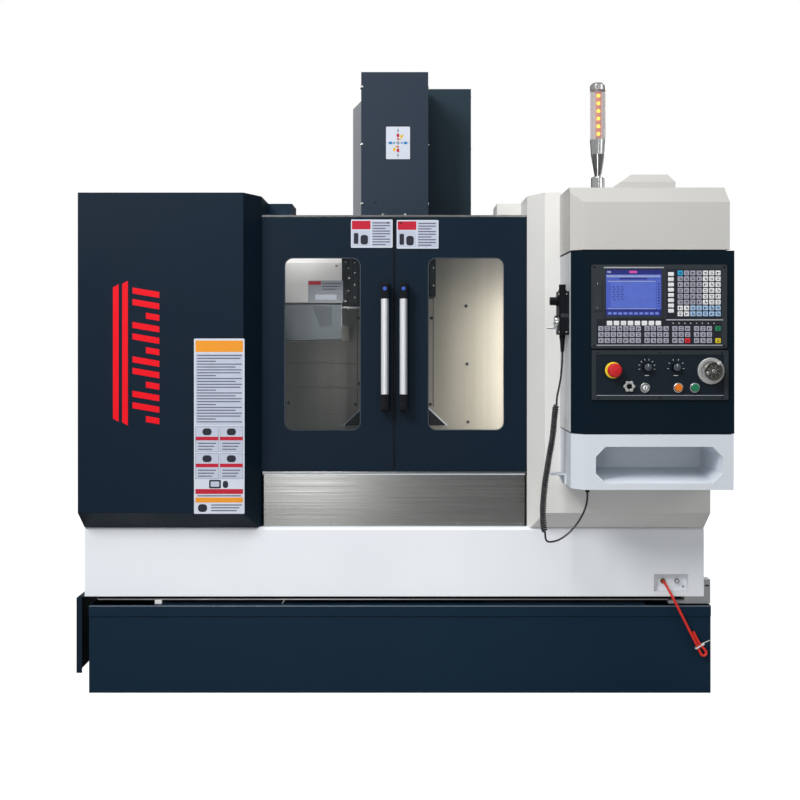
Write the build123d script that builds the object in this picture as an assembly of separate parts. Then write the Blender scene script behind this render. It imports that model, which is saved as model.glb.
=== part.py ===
from build123d import *
import os
from math import cos, pi, radians, sin, tan

# Vertical machining centre in millimetres.
# X runs to the right, Y to the back and Z up; the origin is at floor level,
# in the middle of the plan outline.

# Clearances and sheet
SLIDE_GAP = 0.3          # between flat slideways that move on each other
SHAFT_GAP = 0.05         # radial, a shaft turning in its bore
SEAT_GAP = 0.3           # round a piece that seats in a pocket
SHEET = 3.0              # folded sheet metal

# Enclosure plan
FRONT = -543.0           # front plane of both side housings
HOUSING_BACK = 250.0
HOUSING_SIDE = 965.0     # outer side of the housings
HOUSING_TOP = 1545.0
FACET_OUT = 460.0        # slanted facet beside the doors, outer edge
FACET_IN = 416.0         # and inner edge
FACET_DEPTH = 95.0
SKIRT_RISE = 56.0        # slanted lower edge of the housing front
SKIRT_DEPTH = 75.0
WORK_HALF = 700.0        # half width of the working space
WORK_BACK = 240.0        # face of its rear sheet
SIDE_OPEN_TOP = 1400.0   # top of the side openings of the working space
SPLASH_FRONT = -398.0    # front of the working space, behind the door pockets
POST_INNER = 338.0       # inner side of the header boxes
POST_FRONT = -260.0
POST_BACK = -113.0

GUSSET_Z = 776.0         # corner plates beside the head's slot
GUSSET_WIDTH = 74.0
GUSSET_HEIGHT = 67.0
GUSSET_DEPTH = 8.0

# Base tray and tank
TRAY_FRONT = -468.0
TRAY_BOTTOM = 296.0
TRAY_TOP = 511.0
TRAY_BEVEL = 8.0
BED_ROOM = 4.0           # between the bed and the tray's floor
LUG_LENGTH = 60.0        # lugs that bolt the tray to the bed
LUG_WIDTH = 30.0
RECESS_EDGE = 49.0       # from the tray's right side to its service recess
RECESS_WIDTH = 106.0
RECESS_X1 = HOUSING_SIDE - RECESS_EDGE
RECESS_X0 = RECESS_X1 - RECESS_WIDTH
RECESS_Z0 = 311.0
RECESS_Z1 = 365.0
RECESS_DEPTH = 25.0
PORT_Z = 341.0
PORT_INSET = 30.6
PORT_PITCH = 43.4
PORT_X = RECESS_X0 + PORT_INSET
BLANK_PORT_X = PORT_X + PORT_PITCH
PORT_R = 7.0
PORT_LENGTH = 12.0
TANK_FRONT = -487.0
TANK_BACK = -157.0
TANK_INSET = 18.0        # the tank ends inside the tray at the left
TANK_STEP = 17.0         # and beyond it at the right
TANK_X0 = -HOUSING_SIDE + TANK_INSET
TANK_X1 = HOUSING_SIDE + TANK_STEP
TANK_DECK_INSET = 200.0
TANK_DECK_DEPTH = 60.0
TANK_TOP = 272.0
TANK_RIM = 33.0
TANK_RIM_PROUD = 4.0
TANK_WALL = 5.0
FLANGE_STEP = 20.0       # skirt plates outside the housings
FLANGE_SIDE = HOUSING_SIDE + FLANGE_STEP
FLANGE_BOTTOM = 63.0
FLANGE_WIDTH = 17.0
FLANGE_BACK = 200.0
FLANGE_SEAT = 10.0       # lap of the left skirt under the tray
BRACKET_DEPTH = 40.0     # angle at the tray's right end
BRACKET_HEIGHT = 75.0
BRACKET_LIFT = 2.0       # over the tank
BRACKET_LEG = 110.0
BRACKET_FOOT = 60.0
BRACKET_FOOT_HEIGHT = 8.0
BRACKET_SLOT_Z = 55.0    # its slot, from the tank's top
BRACKET_SLOT_HEIGHT = 5.0
BRACKET_SLOT_DEPTH = 30.0

# Doors
DOOR_FRONT = -443.0
DOOR_THICK = 28.0
DOOR_BOTTOM = 682.0
DOOR_TOP = 1481.0
DOOR_OUTER = 450.0
DOOR_MEET = 0.5          # half of the gap between the two doors
WINDOW_X = 225.0
WINDOW_WIDTH = 238.0
WINDOW_Z0 = 812.0
WINDOW_Z1 = 1353.0
WINDOW_R = 26.0
WINDOW_REBATE = 10.0
GLASS_THICK = 6.0
DOOR_FRAME = 30.0
TRACK_THICK = 8.0
TRACK_RISE = 14.0
GUIDE_HEIGHT = 6.0
GUIDE_DEPTH = 10.0       # fin of the upper guide inside the door
APRON_FRONT = -446.0
APRON_TOP = 676.0
APRON_HALF = 412.0
APRON_FLANGE = 36.0

# Door handles
HANDLE_X = 29.0
HANDLE_WIDTH = 24.0
HANDLE_Z0 = 874.0
HANDLE_Z1 = 1274.0
HANDLE_CAP_TOP = 52.0
HANDLE_CAP_BOTTOM = 62.0
HANDLE_PROUD = 52.0
HANDLE_BAR = 25.0
HANDLE_ROUND = 5.0

# Bed
BED_HALF = 320.0
BED_FRONT = -340.0
BED_FOOT_FRONT = -140.0
BED_BACK = 640.0
BED_BOTTOM = 60.0
BED_LEDGE = 300.0        # underside of the overhanging front
BED_TOP = 430.0
BED_RIB = 30.0
BED_SIDE_WALL = 70.0
WAY_X = 220.0
WAY_WIDTH = 70.0
WAY_TOP = 470.0
BED_BAYS = 3             # hollows under the bed, between cross ribs
BED_DECK = 60.0
BLOCK_HALF = 45.0        # half width of a screw's bearing block
BLOCK_RISE = 38.0        # its top above the screw
FOOT_X = 280.0
FOOT_Y = (-105.0, 250.0, 600.0)
FOOT_R = 45.0
FOOT_HEIGHT = 16.0
STUD_R = 14.0
FOOT_NUT = 46.0          # width across flats
FOOT_NUT_HEIGHT = 14.0

# Spindle axis, which the table centre shares
SPINDLE_Y = -40.0

# Saddle, moving along Y
SADDLE_HALF = 300.0
SADDLE_FRONT = -184.0
SADDLE_BACK = 104.0
SADDLE_TOP = 560.0
X_WAY_Y = 110.0          # from the table's centre line to each way
X_WAY_WIDTH = 60.0
X_WAY_TOP = 600.0
TROUGH_HALF = 60.0       # channel over the Y screw
TROUGH_TOP = 515.0
KEY_DROP = 30.0          # guide key between the bed ways

# Table, moving along X
TABLE_LENGTH = 800.0
TABLE_WIDTH = 260.0
TABLE_TOP = 750.0
TABLE_SLAB = 650.0       # underside of the slab
TABLE_CORNER = 12.0
SLOT_PITCH = 80.0
SLOT_WIDTH = 14.0
SLOT_DEPTH = 16.0
SLOT_HEAD_WIDTH = 24.0
SLOT_HEAD_DEPTH = 12.0

# Ball screws and servo motors
Y_SCREW_R = 12.5
Y_SCREW_Z = 458.0
Y_SCREW_FRONT = -340.0
Y_SCREW_BACK = 250.0
X_SCREW_R = 12.5
X_SCREW_Z = 603.0
Z_SCREW_R = 16.0
Z_SCREW_Y = 282.0
Z_SCREW_BOTTOM = 800.0
BLOCK_THICK = 36.0
NUT_HALF = 30.0
X_BLOCK_HALF = 40.0
X_BLOCK_RISE = 32.0
X_NUT_HALF = 35.0
X_NUT_DROP = 28.0
Y_NUT_HALF = 40.0
Y_NUT_DROP = 24.0
MOTOR_WIDTH = 90.0
MOTOR_LENGTH = 100.0
MOTOR_FLANGE = 12.0
MOTOR_FLANGE_ROUND = 8.0
MOTOR_STEP = 8.0         # body narrower than the flange
MOTOR_ROUND = 14.0
MOTOR_PLUG_HALF = 12.0
MOTOR_PLUG_SINK = 4.0
MOTOR_PLUG_PROUD = 14.0
MOTOR_PLUG_LOW = 30.0    # plug's ends, from the motor's end
MOTOR_PLUG_HIGH = 8.0
MOTOR_CAP_R = 38.0
MOTOR_CAP_LENGTH = 14.0

# Column
COLUMN_FOOT_HALF = 230.0
COLUMN_HEAD_HALF = 145.0
COLUMN_SHOULDER = 1500.0
COLUMN_FACE = 302.0
COLUMN_BACK = 647.0
COLUMN_TOP = 1820.0
COLUMN_WALL = 34.0
Z_WAY_X = 75.0
Z_WAY_WIDTH = 50.0
Z_WAY_FACE = 262.0
Z_WAY_BOTTOM = 800.0

# Head, moving along Z
HEAD_HALF = 139.0
HEAD_FRONT = -165.0
HEAD_BOTTOM = 1245.0
HEAD_SHOULDER = 1480.0
HEAD_BEVEL = 30.0
HEAD_BACK = 130.0
HEAD_BACK_RISE = 45.0
NECK_BACK = 100.0
Z_NUT_ROOM = 10.0        # beside the nut, to the column's ways
Z_NUT_CLEAR = 3.0
Z_NUT_HALF = 50.0
NECK_HALF = 105.0
NECK_FRONT = -140.0
NECK_TOP = 1560.0
SLIDE_BOTTOM = 1290.0
SLIDE_TOP = 1700.0
NOSE_Z = 1213.0
NOSE_RING_R = 70.0
NOSE_RING_Z = 1225.0
SPINDLE_R = 45.0
SPINDLE_TOP = 1550.0
TAPER_R = 22.2           # mouth of the tool taper
TAPER_TOP_R = 12.5
TAPER_LENGTH = 66.0
DRIVE_KEY = 15.9
SPINDLE_MOTOR_HALF = 95.0
SPINDLE_MOTOR_TOP = 1960.0
SPINDLE_MOTOR_ROUND = 20.0
FAN_HEIGHT = 60.0
FAN_INSET = 8.0
COVER_HALF = 114.0
COVER_FRONT = -150.0
COVER_BACK = 118.0
COVER_TOP = 2006.0

# Column covers
SHROUD_RIGHT = 278.0
SHROUD_LEFT = -110.0
SHROUD_FRONT = 150.0
SHROUD_BACK = 650.0
SHROUD_TOP = 2015.0
SHROUD_SLOT_TOP = 1705.0
SIDE_COVER_LEFT = -154.0
SIDE_COVER_TOP = 1975.0
SIDE_COVER_BEVEL = 34.0

# Tool magazine
POCKET_COUNT = 12
POCKET_PITCH_R = 225.0
POCKET_R = 16.0
CAROUSEL_R = 235.0
CAROUSEL_X = -422.0
CAROUSEL_Z0 = 1165.0
CAROUSEL_Z1 = 1190.0
CAROUSEL_SHAFT_R = 20.0
DISC_DISH_R = 60.0       # dished middle of the disc
DISC_FLOOR = 6.0
HUB_R = 45.0
HUB_BOTTOM = 1200.0
CARRIAGE_NECK_HALF = 30.0
CARRIAGE_NECK_Z0 = 1300.0
CARRIAGE_NECK_Z1 = 1360.0
CARRIAGE_HALF = 58.0
ARM_X0 = -650.0
ARM_FRONT = 270.0
ARM_Z0 = 1290.0
ARM_Z1 = 1370.0
ARM_RIM = 20.0           # round the arm's window
ARM_SOLID = 120.0        # from the window to the disc's axis
CARRIAGE_CLEAR = 14.0    # behind the rear sheet
CARRIAGE_LIP = 10.0
LIP_REACH = 16.0
CARRIAGE_NECK_FRONT = 40.0
HUB_SEAT = 20.0          # shaft of the disc inside the neck
MAGAZINE_X0 = -680.0
MAGAZINE_X1 = -172.0
MAGAZINE_FRONT = -290.0
MAGAZINE_BOTTOM = 1092.0
MAGAZINE_SHOULDER = 1348.0
MAGAZINE_TOP = 1394.0
MAGAZINE_SLOPE = 110.0
MAGAZINE_SHEET = 2.0
MAGAZINE_BEVEL = 40.0
MAGAZINE_BEVEL_START = 400.0
MAGAZINE_TRAVEL = 197.0
DISC_ROOM = 20.0         # over and under the disc in the magazine's side

# Electrical cabinet behind the column
CABINET_HALF = 480.0
CABINET_BACK = 805.0
CABINET_Z0 = 430.0
CABINET_Z1 = 1530.0
CABINET_DOOR_THICK = 16.0
CABINET_DOOR_GAP = 0.3
CABINET_WALL = 4.0
CABINET_RIM = 30.0       # solid border of its door
MOUNT_PLATE = 6.0        # plate for the drives, on the rear wall
MOUNT_PLATE_SIDE = 60.0
MOUNT_PLATE_END = 80.0
HINGE_OUT = 8.0          # hinge pin outside the cabinet
HINGE_X = -CABINET_HALF - HINGE_OUT
HINGE_R = 6.0
HINGE_LEAF = 5.0
HINGE_EAR = 10.0
HINGE_PIN_R = 3.0
HINGE_LENGTH = 60.0
HINGE_Z = (560.0, 1400.0)
SWITCH_EDGE = 100.0
SWITCH_X = CABINET_HALF - SWITCH_EDGE
SWITCH_Z = 1380.0
SWITCH_R = 22.0
SWITCH_PROUD = 15.0

# Console on the right housing
CONSOLE_FRONT = -790.0
CONSOLE_WIDTH = 458.0
CONSOLE_RIGHT = HOUSING_SIDE
CONSOLE_LEFT = CONSOLE_RIGHT - CONSOLE_WIDTH
CONSOLE_BEVEL_X = 34.0
CONSOLE_BEVEL_Y = 36.0
CONSOLE_WALL = 4.0
BODY_Z0 = 829.0
BODY_Z1 = 1348.0
TOP_BOX_X0 = CONSOLE_LEFT - 2.0
TOP_BOX_X1 = CONSOLE_RIGHT - 13.0
TOP_BOX_Z0 = 1351.0
TOP_BOX_Z1 = 1534.0
TOP_BOX_DROP = 48.0
TOP_BOX_RUN = 55.0
TRAY_BOX_Z0 = 670.0
TRAY_BOX_Z1 = 827.0
POCKET_X0 = CONSOLE_LEFT + 66.0
POCKET_X1 = CONSOLE_RIGHT - 33.0
POCKET_Z0 = 689.0
POCKET_Z1 = 792.0
POCKET_CORNER = 28.0
POCKET_DEPTH = 235.0
POCKET_RAMP = 19.0
UNIT_X0 = CONSOLE_LEFT + 52.0
UNIT_X1 = CONSOLE_RIGHT - 22.0
UNIT_Z0 = 1071.0
UNIT_Z1 = 1308.0
UNIT_THICK = 6.0
UNIT_ROUND = 6.0
SCREEN_WIDTH = 157.0
SCREEN_X0 = UNIT_X0 + 41.0
SCREEN_X1 = SCREEN_X0 + SCREEN_WIDTH
SCREEN_Z0 = 1163.0
SCREEN_Z1 = 1294.0
SCREEN_DEPTH = 3.0
PANEL_X0 = CONSOLE_LEFT + 53.0
PANEL_X1 = CONSOLE_RIGHT - 18.0
PANEL_Z0 = 925.0
PANEL_Z1 = 1066.0
PANEL_THICK = 4.0
PANEL_ROUND = 5.0
SOCKET_COVER_EDGE = 4.0  # flap over the unit's sockets
SOCKET_COVER_WIDTH = 25.0
SOCKET_COVER_Z0 = 1178.0
SOCKET_COVER_Z1 = 1262.0
SOCKET_COVER_PROUD = 2.0
KEY_SHEET_X0 = UNIT_X0 + 15.0
KEY_SHEET_X1 = UNIT_X1 - 16.0
KEY_SHEET_Z0 = UNIT_Z0 + 12.0
KEY_SHEET_Z1 = UNIT_Z1 - 13.0
KEY_SHEET_STEP_X = SCREEN_X1 + 14.0
KEY_SHEET_STEP_Z = SCREEN_Z0 - 9.0
KEY_SHEET = 0.8
KEY_PROUD = 1.4

# Operator's controls: place across and up
CONTROL_BORE_DEPTH = 26.0
ESTOP_X = PANEL_X0 + 60.5
ESTOP_Z = 1009.4
ESTOP_COLLAR_R = 28.0
ESTOP_COLLAR_HEIGHT = 4.0
ESTOP_HEAD_R = 20.0
ESTOP_TRAVEL = 5.0
KNOB_X = (PANEL_X0 + 156.4, PANEL_X0 + 238.2)
KNOB_Z = 1018.0
KNOB_R = 14.0
KNOB_HEIGHT = 18.0
HANDWHEEL_X = PANEL_X0 + 335.6
HANDWHEEL_Z = 1007.4
HANDWHEEL_R = 37.4
HANDWHEEL_THICK = 12.0
RING_X = PANEL_X0 + 105.8
RING_Z = 963.5
RING_R = 17.0
KEYLOCK_X = PANEL_X0 + 150.8
BUTTON_X = (PANEL_X0 + 244.5, PANEL_X0 + 291.4)
BUTTON_Z = 960.0
BUTTON_R = 10.5
BUTTON_BEZEL_R = 14.0
BUTTON_BEZEL_HEIGHT = 4.0
BUTTON_PROUD = 8.0
BUTTON_TRAVEL = 3.0
CONTROL_SHAFT_R = 5.0
STAND_OFF = 0.4          # gap under a knob or wheel

# Hand pulse unit on the console's left side
PULSE_X0 = CONSOLE_LEFT - 29.0
PULSE_Y = -693.0
PULSE_HALF = 37.5
PULSE_Z0 = 1110.0
PULSE_Z1 = 1236.0
PULSE_BEVEL = 5.0
PULSE_WHEEL_Z = 1146.0
PULSE_WHEEL_R = 21.0
PULSE_WHEEL_THICK = 9.0
PULSE_KNOB_Z = 1208.0
PULSE_KNOB_R = 12.0
PULSE_KNOB_HEIGHT = 22.0
RATE_KNOB_R = 10.0
RATE_KNOB_HEIGHT = 20.0
PULSE_CORD_X = PULSE_X0 + 13.7

# Stack light and roof box
LIGHT_X = TOP_BOX_X0 + 95.5
LIGHT_Y = -663.0
LIGHT_BASE_R = 20.0
LIGHT_BASE_HEIGHT = 40.0
LIGHT_NECK_R = 9.5
LIGHT_R = 23.3
LIGHT_CONE_TOP = 1683.0
LIGHT_LENS_TOP = 1829.0
LIGHT_TOP = 1850.0
LIGHT_CORE_R = 7.0
LIGHT_LENS_WALL = 3.0
HOOD_WIDTH = 190.0
HOOD_X0 = TOP_BOX_X0 + 125.0
HOOD_X1 = HOOD_X0 + HOOD_WIDTH
HOOD_FRONT = -700.0
HOOD_BACK = -560.0
HOOD_FACE = 21.0
HOOD_HEIGHT = 46.0
HOOD_SLOPE = 68.0
HOOD_RUN = 24.0

# Bracket for the air gun
HOLDER_X0 = CONSOLE_LEFT - 44.0
HOLDER_Y0 = -665.0
HOLDER_Y1 = -610.0
HOLDER_Z = 697.0
HOLDER_THICK = 4.0
HOLDER_HOLE_R = 10.0
HOLDER_GUSSET = 28.0

# Cords
CORD_R = 3.0
COIL_R = 9.9
HOSE_R = 4.0
GLAND_R = 8.5
GLAND_NUT = 12.0
GLAND_TIP_R = 4.0
GLAND_LENGTH = 51.3
TRAY_GLAND_X = CONSOLE_LEFT + 58.0
TRAY_GLAND_LENGTH = 19.0

CORD_UPPER = [
    (491.7, -693, 1058.7), (491.7, -693, 1041), (490.2, -692, 1015), (487.4, -692.5, 985),
    (482.0, -693, 955), (476.1, -693, 931), (473.6, -693, 911),
]
COIL_ROUTE = [
    (473.6, -693, 911), (468.6, -693, 871), (465.6, -693, 829), (460.2, -693, 790.7),
    (453.5, -693, 757), (448.5, -693, 722), (441.8, -693, 683.6), (437.7, -693, 643.4),
    (434.6, -693, 599.9), (435.5, -693, 562.4), (440.1, -693, 529.6),
]
CORD_LOWER = [
    (440.1, -693, 529.6), (442.4, -693, 513.2), (451, -693, 501), (466, -693, 497),
    (484, -693, 502), (503, -693, 515), (520, -693, 532), (536, -693, 553),
    (549, -693, 577), (559.5, -693, 603), (565, -693, 629), (565, -693, 651),
]
HOSE_ROUTE = [
    (840.6, -455, 341), (840.6, -471, 341), (844, -487, 333), (853, -499, 314),
    (872, -504, 277), (892, -504, 237), (913, -503, 195), (929.5, -503, 163),
    (939, -502, 142.5), (945.3, -502, 129.8), (949.5, -502, 121.6), (959.4, -502, 121),
    (965, -502, 130), (956.5, -502, 142), (944, -502, 155), (932.5, -502, 176),
    (923.4, -502, 195),
]

# Key groups on the unit: first key from its lower left corner, columns and pitch,
# rows and pitch, and the key's width and height
KEY_SMALL = (14.7, 13.6)
KEY_GROUPS = (
    ((250.8, 213.2), 7, 17.8, 8, 16.5, KEY_SMALL),
    ((224.6, 210.0), 1, 0.0, 8, 14.8, (18.0, 11.6)),
    ((51.0, 71.4), 8, 19.7, 1, 0.0, (15.5, 13.0)),
    ((26.7, 56.1), 7, 17.6, 3, 17.0, KEY_SMALL),
    ((157.0, 56.1), 4, 17.9, 3, 17.0, KEY_SMALL),
    ((235.6, 56.1), 3, 17.9, 3, 17.0, KEY_SMALL),
    ((297.0, 56.1), 3, 18.0, 3, 17.0, KEY_SMALL),
    ((357.5, 56.1), 1, 0.0, 1, 0.0, (15.0, 13.6)),
    ((357.5, 22.1), 1, 0.0, 1, 0.0, (15.0, 13.6)),
)

# Shared places
CAROUSEL_CENTRE = (CAROUSEL_X, SPINDLE_Y)
CONSOLE_HOLES = (
    (ESTOP_X, ESTOP_Z), (KNOB_X[0], KNOB_Z), (KNOB_X[1], KNOB_Z), (HANDWHEEL_X, HANDWHEEL_Z),
    (KEYLOCK_X, BUTTON_Z), (BUTTON_X[0], BUTTON_Z), (BUTTON_X[1], BUTTON_Z),
)
PANEL_FACE = CONSOLE_FRONT - PANEL_THICK
UNIT_FACE = CONSOLE_FRONT - UNIT_THICK


# Basic solids
def block(x0, x1, y0, y1, z0, z1):
    size = (abs(x1 - x0), abs(y1 - y0), abs(z1 - z0))
    centre = ((x0 + x1) / 2, (y0 + y1) / 2, (z0 + z1) / 2)
    return Pos(*centre) * Box(*size)


def outline(plane, points):
    return plane * make_face(Polyline(*points, close=True))


def prism_z(points, z0, z1):
    return extrude(outline(Plane.XY.offset(z0), points), z1 - z0)


def prism_x(points, x0, x1):
    return extrude(outline(Plane.YZ.offset(x0), points), x1 - x0)


def prism_y(points, y0, y1):
    plane = Plane(origin=(0, y1, 0), x_dir=(1, 0, 0), z_dir=(0, -1, 0))
    return extrude(outline(plane, points), y1 - y0)


def rod_x(r, x0, x1, y, z):
    return Pos((x0 + x1) / 2, y, z) * Rot(0, 90, 0) * Cylinder(r, abs(x1 - x0))


def rod_y(r, y0, y1, x, z):
    return Pos(x, (y0 + y1) / 2, z) * Rot(90, 0, 0) * Cylinder(r, abs(y1 - y0))


def rod_z(r, z0, z1, x, y):
    return Pos(x, y, (z0 + z1) / 2) * Cylinder(r, abs(z1 - z0))


def turned(profile):
    """A solid turned about Z from a profile of (radius, height) points."""
    return revolve(outline(Plane.XZ, profile), Axis.Z)


def mirrored(shape):
    return mirror(shape, about=Plane.YZ)


def facing_front(shape, x, y, z):
    """Stand a solid, made along Z from the origin, on a vertical face, pointing to the front."""
    return Pos(x, y, z) * Rot(90, 0, 0) * shape


# Bed, feet and column
def bed_casting():
    side = [
        (BED_FRONT, BED_LEDGE), (BED_FOOT_FRONT, BED_LEDGE), (BED_FOOT_FRONT, BED_BOTTOM),
        (BED_BACK, BED_BOTTOM), (BED_BACK, BED_TOP), (BED_FRONT, BED_TOP),
    ]
    bed = prism_x(side, -BED_HALF, BED_HALF)
    pocket_x = BED_HALF - BED_SIDE_WALL
    span = (BED_BACK - BED_FOOT_FRONT - BED_RIB * (BED_BAYS + 1)) / BED_BAYS
    for bay in range(BED_BAYS):
        y0 = BED_FOOT_FRONT + BED_RIB + bay * (span + BED_RIB)
        bed -= block(-pocket_x, pocket_x, y0, y0 + span, BED_BOTTOM, BED_TOP - BED_DECK)
    for way in (-WAY_X, WAY_X):
        bed += block(way - WAY_WIDTH / 2, way + WAY_WIDTH / 2, BED_FRONT, COLUMN_FACE, BED_TOP, WAY_TOP)
    for y0 in (Y_SCREW_FRONT, Y_SCREW_BACK - BLOCK_THICK):
        bed += block(-BLOCK_HALF, BLOCK_HALF, y0, y0 + BLOCK_THICK, BED_TOP, Y_SCREW_Z + BLOCK_RISE)
    return bed - rod_y(Y_SCREW_R + SHAFT_GAP, Y_SCREW_FRONT, Y_SCREW_BACK, 0, Y_SCREW_Z)


def levelling_feet():
    feet = []
    for y in FOOT_Y:
        for x in (-FOOT_X, FOOT_X):
            foot = rod_z(FOOT_R, 0, FOOT_HEIGHT, x, y) + rod_z(STUD_R, 0, BED_BOTTOM, x, y)
            nut = extrude(Plane.XY.offset(BED_BOTTOM - FOOT_NUT_HEIGHT) * RegularPolygon(
                FOOT_NUT / 2, 6, major_radius=False), FOOT_NUT_HEIGHT)
            feet.append(foot + Pos(x, y, 0) * nut)
    return Compound(children=feet)


def column():
    face = [
        (-COLUMN_FOOT_HALF, BED_TOP), (COLUMN_FOOT_HALF, BED_TOP), (COLUMN_HEAD_HALF, COLUMN_SHOULDER),
        (COLUMN_HEAD_HALF, COLUMN_TOP), (-COLUMN_HEAD_HALF, COLUMN_TOP),
        (-COLUMN_HEAD_HALF, COLUMN_SHOULDER),
    ]
    casting = prism_y(face, COLUMN_FACE, COLUMN_BACK)
    casting -= block(-COLUMN_HEAD_HALF + COLUMN_WALL, COLUMN_HEAD_HALF - COLUMN_WALL,
                     COLUMN_FACE + COLUMN_WALL, COLUMN_BACK - COLUMN_WALL, BED_TOP + COLUMN_WALL, COLUMN_TOP)
    for x in (-Z_WAY_X, Z_WAY_X):
        casting += block(x - Z_WAY_WIDTH / 2, x + Z_WAY_WIDTH / 2, Z_WAY_FACE, COLUMN_FACE,
                         Z_WAY_BOTTOM, COLUMN_TOP)
    inner = Z_WAY_X - Z_WAY_WIDTH / 2
    for z0 in (Z_SCREW_BOTTOM, COLUMN_TOP - BLOCK_THICK):
        casting += block(-inner, inner, Z_WAY_FACE, COLUMN_FACE, z0, z0 + BLOCK_THICK)
    casting -= rod_z(Z_SCREW_R + SHAFT_GAP, Z_SCREW_BOTTOM, COLUMN_TOP, 0, Z_SCREW_Y)
    arm = block(ARM_X0, -Z_WAY_X, ARM_FRONT, COLUMN_FACE, ARM_Z0, ARM_Z1)
    lightening = block(ARM_X0 + ARM_RIM, CAROUSEL_X - ARM_SOLID, ARM_FRONT, COLUMN_FACE,
                       ARM_Z0 + ARM_RIM, ARM_Z1 - ARM_RIM)
    return casting + (arm - lightening)


# Servo motor with its shaft end at the origin, pointing up Z
def servo_motor():
    half = MOTOR_WIDTH / 2
    width = MOTOR_WIDTH - MOTOR_STEP
    flange = extrude(RectangleRounded(MOTOR_WIDTH, MOTOR_WIDTH, MOTOR_FLANGE_ROUND), MOTOR_FLANGE)
    body = Pos(0, 0, MOTOR_FLANGE) * extrude(RectangleRounded(width, width, MOTOR_ROUND),
                                             MOTOR_LENGTH - MOTOR_FLANGE)
    cap = Pos(0, 0, MOTOR_LENGTH) * Cylinder(MOTOR_CAP_R, MOTOR_CAP_LENGTH,
                                             align=(Align.CENTER, Align.CENTER, Align.MIN))
    plug = block(-MOTOR_PLUG_HALF, MOTOR_PLUG_HALF, half - MOTOR_PLUG_SINK, half + MOTOR_PLUG_PROUD,
                 MOTOR_LENGTH - MOTOR_PLUG_LOW, MOTOR_LENGTH - MOTOR_PLUG_HIGH)
    return flange + body + cap + plug


def axis_motors():
    y_motor = Pos(0, Y_SCREW_FRONT, Y_SCREW_Z) * Rot(90, 0, 0) * Rot(0, 0, 180) * servo_motor()
    z_motor = Pos(0, Z_SCREW_Y, COLUMN_TOP) * Rot(0, 0, 180) * servo_motor()
    return Compound(children=[y_motor, z_motor])


# Saddle and table
def saddle():
    body = block(-SADDLE_HALF, SADDLE_HALF, SADDLE_FRONT, SADDLE_BACK, WAY_TOP + SLIDE_GAP, SADDLE_TOP)
    body -= block(-TROUGH_HALF, TROUGH_HALF, SADDLE_FRONT, SADDLE_BACK, WAY_TOP, TROUGH_TOP)
    key = WAY_X - WAY_WIDTH / 2 - SLIDE_GAP
    for sign in (-1, 1):
        body += block(sign * TROUGH_HALF, sign * key, SADDLE_FRONT, SADDLE_BACK,
                      WAY_TOP - KEY_DROP, WAY_TOP + SLIDE_GAP)
        y = SPINDLE_Y + sign * X_WAY_Y
        body += block(-SADDLE_HALF, SADDLE_HALF, y - X_WAY_WIDTH / 2, y + X_WAY_WIDTH / 2,
                      SADDLE_TOP, X_WAY_TOP)
        x_end = sign * SADDLE_HALF
        body += block(x_end - sign * BLOCK_THICK, x_end, SPINDLE_Y - X_BLOCK_HALF, SPINDLE_Y + X_BLOCK_HALF,
                      SADDLE_TOP, X_SCREW_Z + X_BLOCK_RISE)
    body += block(-Y_NUT_HALF, Y_NUT_HALF, SPINDLE_Y - NUT_HALF, SPINDLE_Y + NUT_HALF,
                  Y_SCREW_Z - Y_NUT_DROP, TROUGH_TOP)
    body -= rod_y(Y_SCREW_R + SHAFT_GAP, SADDLE_FRONT, SADDLE_BACK, 0, Y_SCREW_Z)
    body -= rod_x(X_SCREW_R + SHAFT_GAP, -SADDLE_HALF, SADDLE_HALF, SPINDLE_Y, X_SCREW_Z)
    motor = Pos(SADDLE_HALF, SPINDLE_Y, X_SCREW_Z) * Rot(0, 90, 0) * Rot(0, 0, -90) * servo_motor()
    return body + motor


def table():
    half = TABLE_LENGTH / 2
    slab = Pos(0, SPINDLE_Y, TABLE_SLAB) * extrude(
        RectangleRounded(TABLE_LENGTH, TABLE_WIDTH, TABLE_CORNER), TABLE_TOP - TABLE_SLAB)
    for row in (-1, 0, 1):
        y = SPINDLE_Y + row * SLOT_PITCH
        slab -= block(-half, half, y - SLOT_WIDTH / 2, y + SLOT_WIDTH / 2, TABLE_TOP - SLOT_DEPTH, TABLE_TOP)
        head_top = TABLE_TOP - SLOT_DEPTH
        slab -= block(-half, half, y - SLOT_HEAD_WIDTH / 2, y + SLOT_HEAD_WIDTH / 2,
                      head_top - SLOT_HEAD_DEPTH, head_top)
    for sign in (-1, 1):
        inner = SPINDLE_Y + sign * (X_WAY_Y - X_WAY_WIDTH / 2)
        slab += block(-half, half, inner, SPINDLE_Y + sign * TABLE_WIDTH / 2,
                      X_WAY_TOP + SLIDE_GAP, TABLE_SLAB + TABLE_CORNER)
    slab += block(-NUT_HALF, NUT_HALF, SPINDLE_Y - X_NUT_HALF, SPINDLE_Y + X_NUT_HALF,
                  X_SCREW_Z - X_NUT_DROP, TABLE_SLAB)
    return slab - rod_x(X_SCREW_R + SHAFT_GAP, -half, half, SPINDLE_Y, X_SCREW_Z)


def x_ballscrew():
    return rod_x(X_SCREW_R, -SADDLE_HALF + 1, SADDLE_HALF - 0.5, SPINDLE_Y, X_SCREW_Z)


def y_ballscrew():
    return rod_y(Y_SCREW_R, Y_SCREW_FRONT + 0.5, Y_SCREW_BACK - 1, 0, Y_SCREW_Z)


def z_ballscrew():
    return rod_z(Z_SCREW_R, Z_SCREW_BOTTOM + 1, COLUMN_TOP - 0.5, 0, Z_SCREW_Y)


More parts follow.
